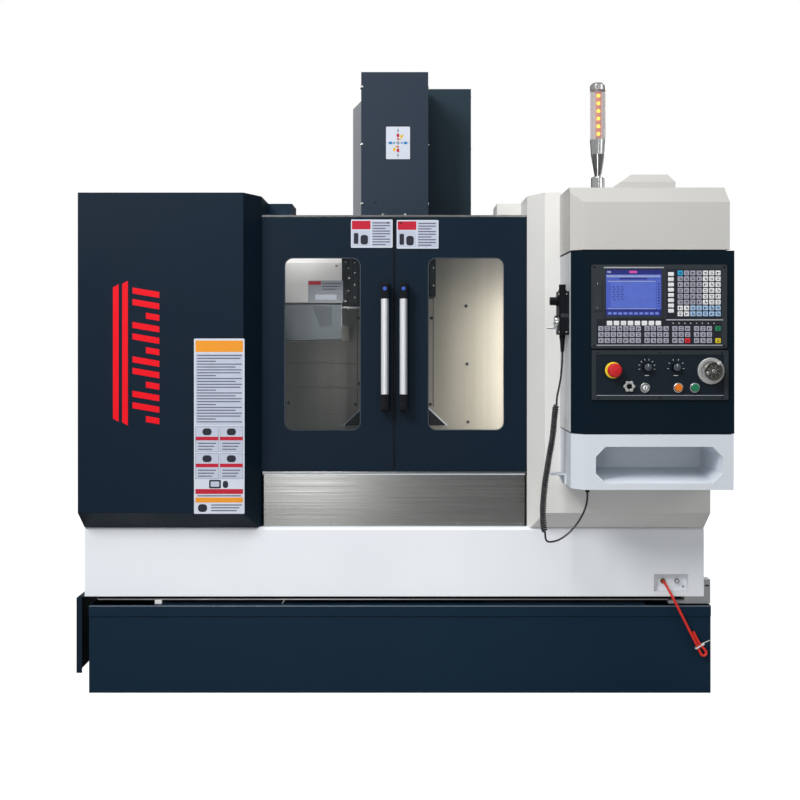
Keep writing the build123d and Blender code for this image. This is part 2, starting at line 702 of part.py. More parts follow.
# Head and spindle
def head_casting():
    profile = [
        (HEAD_FRONT, HEAD_BOTTOM + HEAD_BEVEL), (HEAD_FRONT + HEAD_BEVEL, HEAD_BOTTOM),
        (NECK_BACK, HEAD_BOTTOM), (HEAD_BACK, HEAD_BOTTOM + HEAD_BACK_RISE), (HEAD_BACK, HEAD_SHOULDER),
        (HEAD_FRONT, HEAD_SHOULDER),
    ]
    head = prism_x(profile, -HEAD_HALF, HEAD_HALF)
    head += block(-NECK_HALF, NECK_HALF, NECK_FRONT, NECK_BACK, HEAD_SHOULDER, NECK_TOP)
    head += block(-NECK_HALF, NECK_HALF, NECK_BACK, Z_WAY_FACE - SLIDE_GAP, SLIDE_BOTTOM, SLIDE_TOP)
    head += rod_z(NOSE_RING_R, NOSE_RING_Z, HEAD_BOTTOM, 0, SPINDLE_Y)
    nut_half = Z_WAY_X - Z_WAY_WIDTH / 2 - Z_NUT_ROOM
    nut_z = (SLIDE_BOTTOM + SLIDE_TOP) / 2
    head += block(-nut_half, nut_half, Z_WAY_FACE - SLIDE_GAP, COLUMN_FACE - Z_NUT_CLEAR,
                  nut_z - Z_NUT_HALF, nut_z + Z_NUT_HALF)
    head -= rod_z(Z_SCREW_R + SHAFT_GAP, SLIDE_BOTTOM, SLIDE_TOP, 0, Z_SCREW_Y)
    return head - rod_z(SPINDLE_R + SHAFT_GAP, NOSE_RING_Z, SPINDLE_TOP, 0, SPINDLE_Y)


def spindle():
    shaft = turned([
        (0, NOSE_Z + TAPER_LENGTH), (TAPER_TOP_R, NOSE_Z + TAPER_LENGTH), (TAPER_R, NOSE_Z),
        (SPINDLE_R - 2, NOSE_Z), (SPINDLE_R, NOSE_Z + 2), (SPINDLE_R, SPINDLE_TOP - 1), (0, SPINDLE_TOP - 1),
    ])
    for sign in (-1, 1):
        shaft += block(sign * (TAPER_R + 4), sign * (SPINDLE_R - 5), -DRIVE_KEY / 2, DRIVE_KEY / 2,
                       NOSE_Z - 6, NOSE_Z + 4)
    return Pos(0, SPINDLE_Y, 0) * shaft


def spindle_motor():
    size = 2 * SPINDLE_MOTOR_HALF
    height = SPINDLE_MOTOR_TOP - NECK_TOP
    body = extrude(RectangleRounded(size, size, SPINDLE_MOTOR_ROUND), height - FAN_HEIGHT)
    fan = Pos(0, 0, height - FAN_HEIGHT) * Cylinder(SPINDLE_MOTOR_HALF - FAN_INSET, FAN_HEIGHT,
                                                    align=(Align.CENTER, Align.CENTER, Align.MIN))
    return Pos(0, SPINDLE_Y, NECK_TOP) * (body + fan)


def head_cover():
    shell = block(-COVER_HALF, COVER_HALF, COVER_FRONT, COVER_BACK, HEAD_SHOULDER + 0.5, COVER_TOP)
    inner = COVER_HALF - SHEET
    shell -= block(-inner, inner, COVER_FRONT + SHEET, COVER_BACK - SHEET, HEAD_SHOULDER, COVER_TOP - SHEET)
    slot = NECK_HALF + 1
    shell -= block(-slot, slot, COVER_BACK - SHEET - 1, COVER_BACK, HEAD_SHOULDER, SLIDE_TOP + 2)
    for sign in (-1, 1):
        pad = block(sign * NECK_HALF, sign * inner, NECK_FRONT + 40, NECK_FRONT + 90,
                    HEAD_SHOULDER + 30, NECK_TOP - 20)
        shell += pad
    return shell


# Column covers
def column_cover():
    shell = block(SHROUD_LEFT, SHROUD_RIGHT, SHROUD_FRONT, SHROUD_BACK, HOUSING_TOP, SHROUD_TOP)
    shell -= block(SHROUD_LEFT, SHROUD_RIGHT - SHEET, SHROUD_FRONT + SHEET, SHROUD_BACK - SHEET,
                   HOUSING_TOP, SHROUD_TOP - SHEET)
    slot = NECK_HALF + 5
    shell -= block(SHROUD_LEFT, slot, SHROUD_FRONT, SHROUD_FRONT + SHEET, HOUSING_TOP, SHROUD_SLOT_TOP)
    flange = block(slot + 10, SHROUD_RIGHT - SHEET, SHROUD_FRONT, Z_WAY_FACE,
                   HOUSING_TOP, HOUSING_TOP + SHEET)
    upper_left = block(SHROUD_LEFT, SHROUD_LEFT + SHEET, SHROUD_FRONT, SHROUD_BACK,
                       SIDE_COVER_TOP, SHROUD_TOP)
    return shell + flange + upper_left


def side_cover_outline(inset):
    left = SIDE_COVER_LEFT + inset
    top = SIDE_COVER_TOP - inset
    return [
        (left, HOUSING_TOP), (SHROUD_LEFT, HOUSING_TOP), (SHROUD_LEFT, top),
        (left + SIDE_COVER_BEVEL, top), (left, top - SIDE_COVER_BEVEL),
    ]


def column_side_cover():
    outer = prism_y(side_cover_outline(0), SHROUD_FRONT, SHROUD_BACK)
    return outer - prism_y(side_cover_outline(SHEET), SHROUD_FRONT + SHEET, SHROUD_BACK - SHEET)


# Tool magazine
def carousel():
    disc = rod_z(CAROUSEL_R, CAROUSEL_Z0, CAROUSEL_Z1, 0, 0)
    disc -= rod_z(DISC_DISH_R, CAROUSEL_Z0 + DISC_FLOOR, CAROUSEL_Z1, 0, 0)
    for index in range(POCKET_COUNT):
        turn = Rot(0, 0, index * 360 / POCKET_COUNT)
        disc -= turn * rod_z(POCKET_R, CAROUSEL_Z0, CAROUSEL_Z1, POCKET_PITCH_R, 0)
    shaft = rod_z(CAROUSEL_SHAFT_R, CAROUSEL_Z0, CARRIAGE_NECK_Z0 - HUB_SEAT, 0, 0)
    return Pos(*CAROUSEL_CENTRE, 0) * (disc + shaft)


def magazine_carriage():
    x = CAROUSEL_X
    front = WORK_BACK + CARRIAGE_CLEAR
    slide = block(x - CARRIAGE_HALF, x + CARRIAGE_HALF, front, ARM_FRONT - SLIDE_GAP,
                  ARM_Z0 - CARRIAGE_LIP, ARM_Z1 + CARRIAGE_LIP)
    neck = block(x - CARRIAGE_NECK_HALF, x + CARRIAGE_NECK_HALF, SPINDLE_Y - CARRIAGE_NECK_FRONT, front,
                 CARRIAGE_NECK_Z0, CARRIAGE_NECK_Z1)
    hub = rod_z(HUB_R, HUB_BOTTOM, CARRIAGE_NECK_Z0 + 5, x, SPINDLE_Y)
    bore = rod_z(CAROUSEL_SHAFT_R + SHAFT_GAP, HUB_BOTTOM, CARRIAGE_NECK_Z0 - HUB_SEAT + 1, x, SPINDLE_Y)
    lips = block(x - CARRIAGE_HALF, x + CARRIAGE_HALF, front, ARM_FRONT + LIP_REACH,
                 ARM_Z1 + SLIDE_GAP, ARM_Z1 + CARRIAGE_LIP)
    lips += block(x - CARRIAGE_HALF, x + CARRIAGE_HALF, front, ARM_FRONT + LIP_REACH,
                  ARM_Z0 - CARRIAGE_LIP, ARM_Z0 - SLIDE_GAP)
    return slide + neck + hub + lips - bore


def magazine_outline(inset):
    """Side view of the magazine's sheet, with its sloping roof."""
    front = MAGAZINE_FRONT + inset
    return [
        (front, MAGAZINE_BOTTOM), (WORK_BACK, MAGAZINE_BOTTOM), (WORK_BACK, MAGAZINE_TOP - inset),
        (front + MAGAZINE_SLOPE, MAGAZINE_TOP - inset), (front, MAGAZINE_SHOULDER - inset),
    ]


def magazine_cover():
    shell = prism_x(magazine_outline(0), MAGAZINE_X0, MAGAZINE_X1)
    shell -= prism_x(magazine_outline(MAGAZINE_SHEET), MAGAZINE_X0 + MAGAZINE_SHEET,
                     MAGAZINE_X1 - MAGAZINE_SHEET)
    shell -= block(MAGAZINE_X1 - MAGAZINE_SHEET, MAGAZINE_X1, MAGAZINE_FRONT + MAGAZINE_SHEET, WORK_BACK,
                   CAROUSEL_Z0 - DISC_ROOM, CAROUSEL_Z1 + DISC_ROOM)
    drop = MAGAZINE_BEVEL
    corner = prism_x([(MAGAZINE_FRONT - 1, MAGAZINE_BOTTOM - 1), (MAGAZINE_FRONT + drop, MAGAZINE_BOTTOM - 1),
                      (MAGAZINE_FRONT - 1, MAGAZINE_BOTTOM + drop)],
                     MAGAZINE_X0 + MAGAZINE_BEVEL_START, MAGAZINE_X1)
    return shell - corner


# Enclosure
def housing_outline(inset):
    rise = inset * 0.55
    return [
        (-HOUSING_SIDE + inset, FRONT + inset), (-FACET_OUT - rise, FRONT + inset),
        (-FACET_IN - inset, FRONT + FACET_DEPTH + rise), (-FACET_IN - inset, HOUSING_BACK - inset),
        (-HOUSING_SIDE + inset, HOUSING_BACK - inset),
    ]


def skirt_wedge(inset):
    """What the slanted lower front edge of a housing cuts away."""
    z0 = TRAY_TOP - 1
    y1 = FRONT + SKIRT_DEPTH + SKIRT_DEPTH / SKIRT_RISE + inset * 1.3
    z1 = TRAY_TOP + SKIRT_RISE + inset * 1.7
    return prism_x([(FRONT - 1, z0), (y1, z0), (FRONT - 1, z1 + 1)], -HOUSING_SIDE - 1, -FACET_IN + 1)


def side_housing():
    outer = prism_z(housing_outline(0), TRAY_TOP, HOUSING_TOP) - skirt_wedge(0)
    inner = prism_z(housing_outline(SHEET), TRAY_TOP, HOUSING_TOP - SHEET) - skirt_wedge(SHEET)
    shell = outer - inner
    pocket_back = SPLASH_FRONT - SHEET
    shell -= block(-FACET_IN - SHEET - 1, -FACET_IN + 1, FRONT + FACET_DEPTH + 1, pocket_back,
                   APRON_TOP - 8, DOOR_TOP + GUIDE_HEIGHT + 2)
    shell += block(-WORK_HALF, -FACET_IN, pocket_back, SPLASH_FRONT, TRAY_TOP, HOUSING_TOP)
    shell -= block(-FACET_IN - SHEET - 1, -FACET_IN + 1, SPLASH_FRONT, HOUSING_BACK - SHEET,
                   TRAY_TOP, SIDE_OPEN_TOP)
    shell -= block(-WORK_HALF, -FACET_IN + 1, HOUSING_BACK - SHEET, HOUSING_BACK + 1, TRAY_TOP, SIDE_OPEN_TOP)
    header = block(-FACET_IN, -POST_INNER, POST_FRONT, POST_BACK, SIDE_OPEN_TOP, HOUSING_TOP)
    return shell + header


def rear_splash_guard():
    z1 = SIDE_OPEN_TOP - 1
    back = block(-WORK_HALF, WORK_HALF, WORK_BACK, WORK_BACK + SHEET, TRAY_TOP, z1)
    back += block(-FACET_IN + SHEET, FACET_IN - SHEET, WORK_BACK, WORK_BACK + SHEET, TRAY_TOP, HOUSING_TOP)
    slot = NECK_HALF + 7
    back -= block(-slot, slot, WORK_BACK - 1, WORK_BACK + SHEET + 1, SLIDE_BOTTOM - 400, HOUSING_TOP + 1)
    travel_x0 = CAROUSEL_X - CARRIAGE_NECK_HALF - 6
    travel_x1 = CAROUSEL_X + MAGAZINE_TRAVEL + CARRIAGE_NECK_HALF + 6
    back -= block(travel_x0, travel_x1, WORK_BACK - 1, WORK_BACK + SHEET + 1,
                  CARRIAGE_NECK_Z0 - 6, CARRIAGE_NECK_Z1 + 6)
    for sign in (-1, 1):
        back += block(sign * WORK_HALF, sign * (WORK_HALF - SHEET), SPLASH_FRONT, WORK_BACK + SHEET,
                      TRAY_TOP, z1)
        x = sign * slot
        gusset = [(x, GUSSET_Z), (x + sign * GUSSET_WIDTH, GUSSET_Z), (x, GUSSET_Z + GUSSET_HEIGHT)]
        back += prism_y(gusset, WORK_BACK - GUSSET_DEPTH, WORK_BACK)
    return back


def base_tray():
    profile = [
        (TRAY_FRONT, TRAY_BOTTOM), (HOUSING_BACK, TRAY_BOTTOM), (HOUSING_BACK, TRAY_TOP),
        (TRAY_FRONT + TRAY_BEVEL, TRAY_TOP), (TRAY_FRONT, TRAY_TOP - TRAY_BEVEL),
    ]
    tray = prism_x(profile, -HOUSING_SIDE, HOUSING_SIDE)
    front = TRAY_FRONT + SHEET
    top = TRAY_TOP - SHEET
    tray -= prism_x([
        (front, TRAY_BOTTOM + SHEET), (HOUSING_BACK - SHEET, TRAY_BOTTOM + SHEET),
        (HOUSING_BACK - SHEET, top), (front + TRAY_BEVEL, top), (front, top - TRAY_BEVEL),
    ], -HOUSING_SIDE + SHEET, HOUSING_SIDE - SHEET)
    tray -= block(-WORK_HALF + SHEET, WORK_HALF - SHEET, SPLASH_FRONT, WORK_BACK, TRAY_TOP - 20, TRAY_TOP + 1)
    cut = BED_HALF + BED_ROOM
    tray -= block(-cut, cut, BED_FRONT - BED_ROOM, HOUSING_BACK + 1, TRAY_BOTTOM - 1, TRAY_BOTTOM + SHEET + 1)
    tray -= block(-cut, cut, WORK_BACK, HOUSING_BACK + 1, TRAY_BOTTOM - 1, TRAY_TOP - 2 * SHEET)
    well_y = TRAY_FRONT + RECESS_DEPTH
    tray += block(RECESS_X0 - SHEET, RECESS_X1 + SHEET, TRAY_FRONT + SHEET, well_y + SHEET,
                  RECESS_Z0 - SHEET, RECESS_Z1 + SHEET)
    tray -= block(RECESS_X0, RECESS_X1, TRAY_FRONT, well_y, RECESS_Z0, RECESS_Z1)
    for x in (PORT_X, BLANK_PORT_X):
        tray += rod_y(PORT_R, well_y - PORT_LENGTH, well_y + 1, x, PORT_Z)
    for sign in (-1, 1):
        lug_x = sign * BED_HALF
        tray += block(lug_x + sign * 2, lug_x, 0, LUG_LENGTH, TRAY_BOTTOM, TRAY_BOTTOM + LUG_LENGTH)
        tray += block(lug_x + sign * 1, lug_x + sign * LUG_WIDTH, 0, LUG_LENGTH,
                      TRAY_BOTTOM, TRAY_BOTTOM + LUG_WIDTH)
    return tray


def coolant_tank():
    tank = block(TANK_X0, TANK_X1, TANK_FRONT, TANK_BACK, 0, TANK_TOP)
    tank -= block(TANK_X0, TANK_X1, TANK_FRONT - 1, TANK_FRONT + TANK_RIM_PROUD, -1, TANK_TOP - TANK_RIM)
    tank -= block(TANK_X0 + TANK_WALL, TANK_X1 - TANK_WALL, TANK_FRONT + TANK_RIM_PROUD + TANK_WALL,
                  TANK_BACK - TANK_WALL, TANK_WALL, TANK_TOP + 1)
    deck = block(TANK_X0 + TANK_DECK_INSET, TANK_X1 - TANK_DECK_INSET,
                 TANK_FRONT + TANK_RIM_PROUD + TANK_WALL, TANK_FRONT + TANK_DECK_DEPTH,
                 TANK_TOP - TANK_WALL, TANK_TOP)
    return tank + deck


def side_skirts():
    x0 = -FLANGE_SIDE
    left = block(x0, x0 + SHEET, TANK_FRONT, FLANGE_BACK, FLANGE_BOTTOM, TRAY_BOTTOM)
    left += block(x0, x0 + FLANGE_WIDTH, TANK_FRONT, TANK_FRONT + SHEET, FLANGE_BOTTOM, TRAY_BOTTOM)
    left += block(x0, -HOUSING_SIDE + FLANGE_SEAT, TRAY_FRONT + 1, FLANGE_BACK,
                  TRAY_BOTTOM - SHEET, TRAY_BOTTOM)
    x1 = FLANGE_SIDE
    y1 = TRAY_FRONT + BRACKET_DEPTH
    z0 = TANK_TOP + BRACKET_LIFT
    slot_z = TANK_TOP + BRACKET_SLOT_Z
    right = block(HOUSING_SIDE, x1, TRAY_FRONT, y1, z0, z0 + BRACKET_HEIGHT)
    right -= block(HOUSING_SIDE + SHEET, x1 - SHEET, TRAY_FRONT - 1, TRAY_FRONT + BRACKET_SLOT_DEPTH,
                   slot_z, slot_z + BRACKET_SLOT_HEIGHT)
    right += block(HOUSING_SIDE - BRACKET_LEG, x1, TRAY_FRONT, y1, z0, z0 + BRACKET_FOOT_HEIGHT)
    right += block(HOUSING_SIDE - BRACKET_FOOT, x1, TRAY_FRONT, y1, z0, TRAY_BOTTOM)
    return Compound(children=[left, right])


def apron_panel():
    sheet = block(-APRON_HALF, APRON_HALF, APRON_FRONT, APRON_FRONT + SHEET, TRAY_TOP, APRON_TOP)
    flange = block(-APRON_HALF, APRON_HALF, APRON_FRONT, APRON_FRONT + APRON_FLANGE,
                   APRON_TOP - SHEET, APRON_TOP)
    foot = block(-APRON_HALF, APRON_HALF, APRON_FRONT, APRON_FRONT + APRON_FLANGE, TRAY_TOP, TRAY_TOP + SHEET)
    return sheet + flange + foot


def track_y():
    return DOOR_FRONT + DOOR_THICK / 2


def door_tracks():
    end = HOUSING_SIDE - SHEET
    y = track_y()
    lower = block(-end, end, y - TRACK_THICK / 2, y + TRACK_THICK / 2, APRON_TOP, APRON_TOP + TRACK_RISE)
    z = DOOR_TOP + SLIDE_GAP
    upper = block(-end, end, DOOR_FRONT, DOOR_FRONT + DOOR_THICK, z, z + GUIDE_HEIGHT)
    upper += block(-end, end, y - TRACK_THICK / 2, y + TRACK_THICK / 2, z - GUIDE_DEPTH, z)
    return Compound(children=[lower, upper])


def window_outline(extra):
    height = WINDOW_Z1 - WINDOW_Z0
    return RectangleRounded(WINDOW_WIDTH + 2 * extra, height + 2 * extra, WINDOW_R + extra)


def window_solid(extra, y0, y1):
    plane = Plane(origin=(-WINDOW_X, y1, (WINDOW_Z0 + WINDOW_Z1) / 2), x_dir=(1, 0, 0), z_dir=(0, -1, 0))
    return extrude(plane * window_outline(extra), y1 - y0)


def left_door():
    back = DOOR_FRONT + DOOR_THICK
    door = block(-DOOR_OUTER, -DOOR_MEET, DOOR_FRONT, back, DOOR_BOTTOM, DOOR_TOP)
    hollow = block(-DOOR_OUTER + DOOR_FRAME, -DOOR_MEET - DOOR_FRAME, DOOR_FRONT + SHEET, back + 1,
                   DOOR_BOTTOM + DOOR_FRAME, DOOR_TOP - DOOR_FRAME)
    rim = window_solid(WINDOW_REBATE + 6, DOOR_FRONT, back - 8)
    door = (door - hollow) + (rim & door)
    door -= window_solid(0, DOOR_FRONT - 1, back + 1)
    door -= window_solid(WINDOW_REBATE, DOOR_FRONT + SHEET, back + 1)
    groove = TRACK_THICK / 2 + SLIDE_GAP
    y = track_y()
    rise = APRON_TOP + TRACK_RISE + SLIDE_GAP
    door -= block(-DOOR_OUTER, 0, y - groove, y + groove, DOOR_BOTTOM - 1, rise)
    return door - block(-DOOR_OUTER, 0, y - groove, y + groove, DOOR_TOP - GUIDE_DEPTH, DOOR_TOP + 1)


def left_window():
    y0 = DOOR_FRONT + SHEET
    return window_solid(WINDOW_REBATE - SEAT_GAP, y0, y0 + GLASS_THICK)


def left_handle():
    x0 = -HANDLE_X - HANDLE_WIDTH / 2
    x1 = -HANDLE_X + HANDLE_WIDTH / 2
    front = DOOR_FRONT - HANDLE_PROUD
    bar = block(x0, x1, front, front + HANDLE_BAR, HANDLE_Z0, HANDLE_Z1)
    bar = fillet(bar.edges().filter_by(Axis.Z), HANDLE_ROUND)
    upper = prism_x([
        (front + 8, HANDLE_Z1), (DOOR_FRONT, HANDLE_Z1), (DOOR_FRONT, HANDLE_Z1 - HANDLE_CAP_TOP),
        (front + 8, HANDLE_Z1 - HANDLE_CAP_TOP + 18),
    ], x0, x1)
    lower = prism_x([
        (front + 8, HANDLE_Z0), (DOOR_FRONT, HANDLE_Z0), (DOOR_FRONT, HANDLE_Z0 + HANDLE_CAP_BOTTOM),
        (front + 8, HANDLE_Z0 + HANDLE_CAP_BOTTOM - 18),
    ], x0, x1)
    return bar + upper + lower


# Electrical cabinet
def electrical_cabinet():
    box = block(-CABINET_HALF, CABINET_HALF, COLUMN_BACK, CABINET_BACK, CABINET_Z0, CABINET_Z1)
    inner = CABINET_HALF - CABINET_WALL
    wall = COLUMN_BACK + CABINET_WALL
    box -= block(-inner, inner, wall, CABINET_BACK + 1, CABINET_Z0 + CABINET_WALL, CABINET_Z1 - CABINET_WALL)
    box += block(-inner + MOUNT_PLATE_SIDE, inner - MOUNT_PLATE_SIDE, wall, wall + MOUNT_PLATE,
                 CABINET_Z0 + MOUNT_PLATE_END, CABINET_Z1 - MOUNT_PLATE_END)
    y = CABINET_BACK + CABINET_DOOR_GAP + CABINET_DOOR_THICK / 2
    for z in HINGE_Z:
        for step in (-1, 1):
            z0 = z + step * (HINGE_LENGTH / 2 + 0.5)
            z1 = z0 + step * HINGE_EAR
            box += block(HINGE_X - HINGE_LEAF, -CABINET_HALF, CABINET_BACK - 20, y + HINGE_LEAF,
                         min(z0, z1), max(z0, z1))
        box += rod_z(HINGE_PIN_R, z - HINGE_LENGTH / 2 - 2, z + HINGE_LENGTH / 2 + 2, HINGE_X, y)
    return box


def cabinet_door():
    y0 = CABINET_BACK + CABINET_DOOR_GAP
    y1 = y0 + CABINET_DOOR_THICK
    door = block(-CABINET_HALF + 2, CABINET_HALF, y0, y1, CABINET_Z0, CABINET_Z1)
    door -= block(-CABINET_HALF + CABINET_RIM, CABINET_HALF - CABINET_RIM, y0 - 1, y1 - SHEET,
                  CABINET_Z0 + CABINET_RIM, CABINET_Z1 - CABINET_RIM)
    y = (y0 + y1) / 2
    for z in HINGE_Z:
        half = HINGE_LENGTH / 2
        door += block(HINGE_X, -CABINET_HALF + 3, y - 2, y + 2, z - half, z + half)
        door += rod_z(HINGE_R, z - half, z + half, HINGE_X, y)
        door -= rod_z(HINGE_PIN_R + SHAFT_GAP, z - half, z + half, HINGE_X, y)
    return door - rod_y(CONTROL_SHAFT_R + SHAFT_GAP, y1 - 8, y1 + 1, SWITCH_X, SWITCH_Z)


def main_switch():
    face = CABINET_BACK + CABINET_DOOR_GAP + CABINET_DOOR_THICK
    dial = rod_y(SWITCH_R, face + STAND_OFF, face + 6, SWITCH_X, SWITCH_Z)
    grip = block(SWITCH_X - 6, SWITCH_X + 6, face + 5, face + SWITCH_PROUD,
                 SWITCH_Z - SWITCH_R + 2, SWITCH_Z + SWITCH_R - 2)
    shaft = rod_y(CONTROL_SHAFT_R, face - 3, face + 3, SWITCH_X, SWITCH_Z)
    return dial + grip + shaft


# Console
def bevelled_plan(x0, x1, inset=0.0):
    """Plan of a console box, open-backed where an inset makes it the hollow inside."""
    corner = inset * 0.42
    front = CONSOLE_FRONT + inset
    return [
        (x0 + inset, FRONT + 1), (x0 + inset, CONSOLE_FRONT + CONSOLE_BEVEL_Y + corner),
        (x0 + CONSOLE_BEVEL_X + corner, front), (x1 - inset, front), (x1 - inset, FRONT + 1),
    ] if inset else [
        (x0, FRONT), (x0, CONSOLE_FRONT + CONSOLE_BEVEL_Y), (x0 + CONSOLE_BEVEL_X, CONSOLE_FRONT),
        (x1, CONSOLE_FRONT), (x1, FRONT),
    ]


def console_top_box():
    box = prism_z(bevelled_plan(TOP_BOX_X0, TOP_BOX_X1), TOP_BOX_Z0, TOP_BOX_Z1)
    drop = TOP_BOX_Z1 - TOP_BOX_DROP
    wedge = prism_x([
        (CONSOLE_FRONT - 20, drop - 20 * TOP_BOX_DROP / TOP_BOX_RUN),
        (CONSOLE_FRONT + TOP_BOX_RUN + 20, TOP_BOX_Z1 + 20 * TOP_BOX_DROP / TOP_BOX_RUN),
        (CONSOLE_FRONT - 20, TOP_BOX_Z1 + 20),
    ], TOP_BOX_X0 - 1, TOP_BOX_X1 + 1)
    hollow = prism_z(bevelled_plan(TOP_BOX_X0, TOP_BOX_X1, CONSOLE_WALL), TOP_BOX_Z0 + CONSOLE_WALL,
                     TOP_BOX_Z1 - CONSOLE_WALL)
    lowered = Pos(0, CONSOLE_WALL, -CONSOLE_WALL) * wedge
    return (box - wedge) - (hollow - lowered) + roof_hood()


def console_body():
    body = prism_z(bevelled_plan(CONSOLE_LEFT, CONSOLE_RIGHT), BODY_Z0, BODY_Z1)
    body -= prism_z(bevelled_plan(CONSOLE_LEFT, CONSOLE_RIGHT, CONSOLE_WALL), BODY_Z0 + CONSOLE_WALL,
                    BODY_Z1 - CONSOLE_WALL)
    for x, z in CONSOLE_HOLES:
        body -= rod_y(CONTROL_SHAFT_R + 4, CONSOLE_FRONT - 1, CONSOLE_FRONT + CONTROL_BORE_DEPTH, x, z)
    return body


def console_tray():
    box = prism_z(bevelled_plan(CONSOLE_LEFT, CONSOLE_RIGHT - 2), TRAY_BOX_Z0, TRAY_BOX_Z1)
    c = POCKET_CORNER
    mouth = [
        (POCKET_X0 + c, POCKET_Z0), (POCKET_X1 - c, POCKET_Z0), (POCKET_X1, POCKET_Z0 + c),
        (POCKET_X1, POCKET_Z1 - c), (POCKET_X1 - c, POCKET_Z1), (POCKET_X0 + c, POCKET_Z1),
        (POCKET_X0, POCKET_Z1 - c), (POCKET_X0, POCKET_Z0 + c),
    ]
    cavity = prism_y(mouth, CONSOLE_FRONT - 1, CONSOLE_FRONT + POCKET_DEPTH)
    ramp = prism_x([
        (CONSOLE_FRONT, POCKET_Z0), (CONSOLE_FRONT + POCKET_DEPTH, POCKET_Z0),
        (CONSOLE_FRONT + POCKET_DEPTH, POCKET_Z0 + POCKET_RAMP),
    ], POCKET_X0, POCKET_X1)
    box = box - (cavity - ramp)
    plate = block(HOLDER_X0, CONSOLE_LEFT, HOLDER_Y0, HOLDER_Y1, HOLDER_Z, HOLDER_Z + HOLDER_THICK)
    hole_x = HOLDER_X0 + HOLDER_HOLE_R + 7
    hole_y = (HOLDER_Y0 + HOLDER_Y1) / 2
    plate -= rod_z(HOLDER_HOLE_R, HOLDER_Z - 1, HOLDER_Z + HOLDER_THICK + 1, hole_x, hole_y)
    foot = block(CONSOLE_LEFT - 4, CONSOLE_LEFT, HOLDER_Y0, HOLDER_Y1, HOLDER_Z - HOLDER_GUSSET, HOLDER_Z)
    gusset = prism_y([(CONSOLE_LEFT - 4, HOLDER_Z), (CONSOLE_LEFT - 4 - 14, HOLDER_Z),
                      (CONSOLE_LEFT - 4, HOLDER_Z - HOLDER_GUSSET)], HOLDER_Y1 - 4, HOLDER_Y1)
    return box + plate + foot + gusset


def cnc_unit():
    plane = Plane(origin=((UNIT_X0 + UNIT_X1) / 2, CONSOLE_FRONT, (UNIT_Z0 + UNIT_Z1) / 2),
                  x_dir=(1, 0, 0), z_dir=(0, -1, 0))
    unit = extrude(plane * RectangleRounded(UNIT_X1 - UNIT_X0, UNIT_Z1 - UNIT_Z0, UNIT_ROUND), UNIT_THICK)
    unit -= block(SCREEN_X0, SCREEN_X1, UNIT_FACE - 1, UNIT_FACE + SCREEN_DEPTH, SCREEN_Z0, SCREEN_Z1)
    x0 = UNIT_X0 + SOCKET_COVER_EDGE
    return unit + block(x0, x0 + SOCKET_COVER_WIDTH, UNIT_FACE - SOCKET_COVER_PROUD, UNIT_FACE + 1,
                        SOCKET_COVER_Z0, SOCKET_COVER_Z1)


def screen():
    gap = SEAT_GAP
    return block(SCREEN_X0 + gap, SCREEN_X1 - gap, UNIT_FACE + 0.6, UNIT_FACE + SCREEN_DEPTH,
                 SCREEN_Z0 + gap, SCREEN_Z1 - gap)


def keypad():
    sheet = prism_y([
        (KEY_SHEET_X0, KEY_SHEET_Z0), (KEY_SHEET_X1, KEY_SHEET_Z0), (KEY_SHEET_X1, KEY_SHEET_Z1),
        (KEY_SHEET_STEP_X, KEY_SHEET_Z1), (KEY_SHEET_STEP_X, KEY_SHEET_STEP_Z),
        (KEY_SHEET_X0, KEY_SHEET_STEP_Z),
    ], UNIT_FACE - KEY_SHEET, UNIT_FACE)
    keys = []
    for place, columns, pitch_x, rows, pitch_z, size in KEY_GROUPS:
        for column_index in range(columns):
            for row in range(rows):
                cx = UNIT_X0 + place[0] + column_index * pitch_x
                cz = UNIT_Z0 + place[1] - row * pitch_z
                keys.append(block(cx - size[0] / 2, cx + size[0] / 2, UNIT_FACE - KEY_PROUD, UNIT_FACE - 0.2,
                                  cz - size[1] / 2, cz + size[1] / 2))
    return sheet.fuse(*keys)


def operator_panel():
    plane = Plane(origin=((PANEL_X0 + PANEL_X1) / 2, CONSOLE_FRONT, (PANEL_Z0 + PANEL_Z1) / 2),
                  x_dir=(1, 0, 0), z_dir=(0, -1, 0))
    panel = extrude(plane * RectangleRounded(PANEL_X1 - PANEL_X0, PANEL_Z1 - PANEL_Z0, PANEL_ROUND),
                    PANEL_THICK)
    face = PANEL_FACE
    panel += rod_y(ESTOP_COLLAR_R, face - ESTOP_COLLAR_HEIGHT, face + 1, ESTOP_X, ESTOP_Z)
    for x in BUTTON_X + (KEYLOCK_X,):
        panel += rod_y(BUTTON_BEZEL_R, face - BUTTON_BEZEL_HEIGHT, face + 1, x, BUTTON_Z)
    ring = rod_y(RING_R - 4, face - 6, face + 1, RING_X, RING_Z)
    for index in range(6):
        angle = radians(index * 60)
        ring += rod_y(4.6, face - 6, face + 1, RING_X + (RING_R - 5) * cos(angle),
                      RING_Z + (RING_R - 5) * sin(angle))
    panel += ring - rod_y(RING_R - 9, face - 7, face, RING_X, RING_Z)
    for x, z in CONSOLE_HOLES:
        panel -= rod_y(CONTROL_SHAFT_R + SHAFT_GAP, face - 10, CONSOLE_FRONT + 1, x, z)
    wells = [(x, BUTTON_Z, BUTTON_R) for x in BUTTON_X] + [(KEYLOCK_X, BUTTON_Z, BUTTON_R)]
    for x, z, r in wells:
        panel -= rod_y(r + SHAFT_GAP, face - 10, face, x, z)
    return panel


# Controls, each with a shaft into the panel
def control(x, z, head, face):
    """Put a head, made along Z from its face, on a shaft at one place of the panel."""
    shaft = Cylinder(CONTROL_SHAFT_R, 18, align=(Align.CENTER, Align.CENTER, Align.MAX))
    return facing_front(head + Pos(0, 0, 1) * shaft, x, face, z)


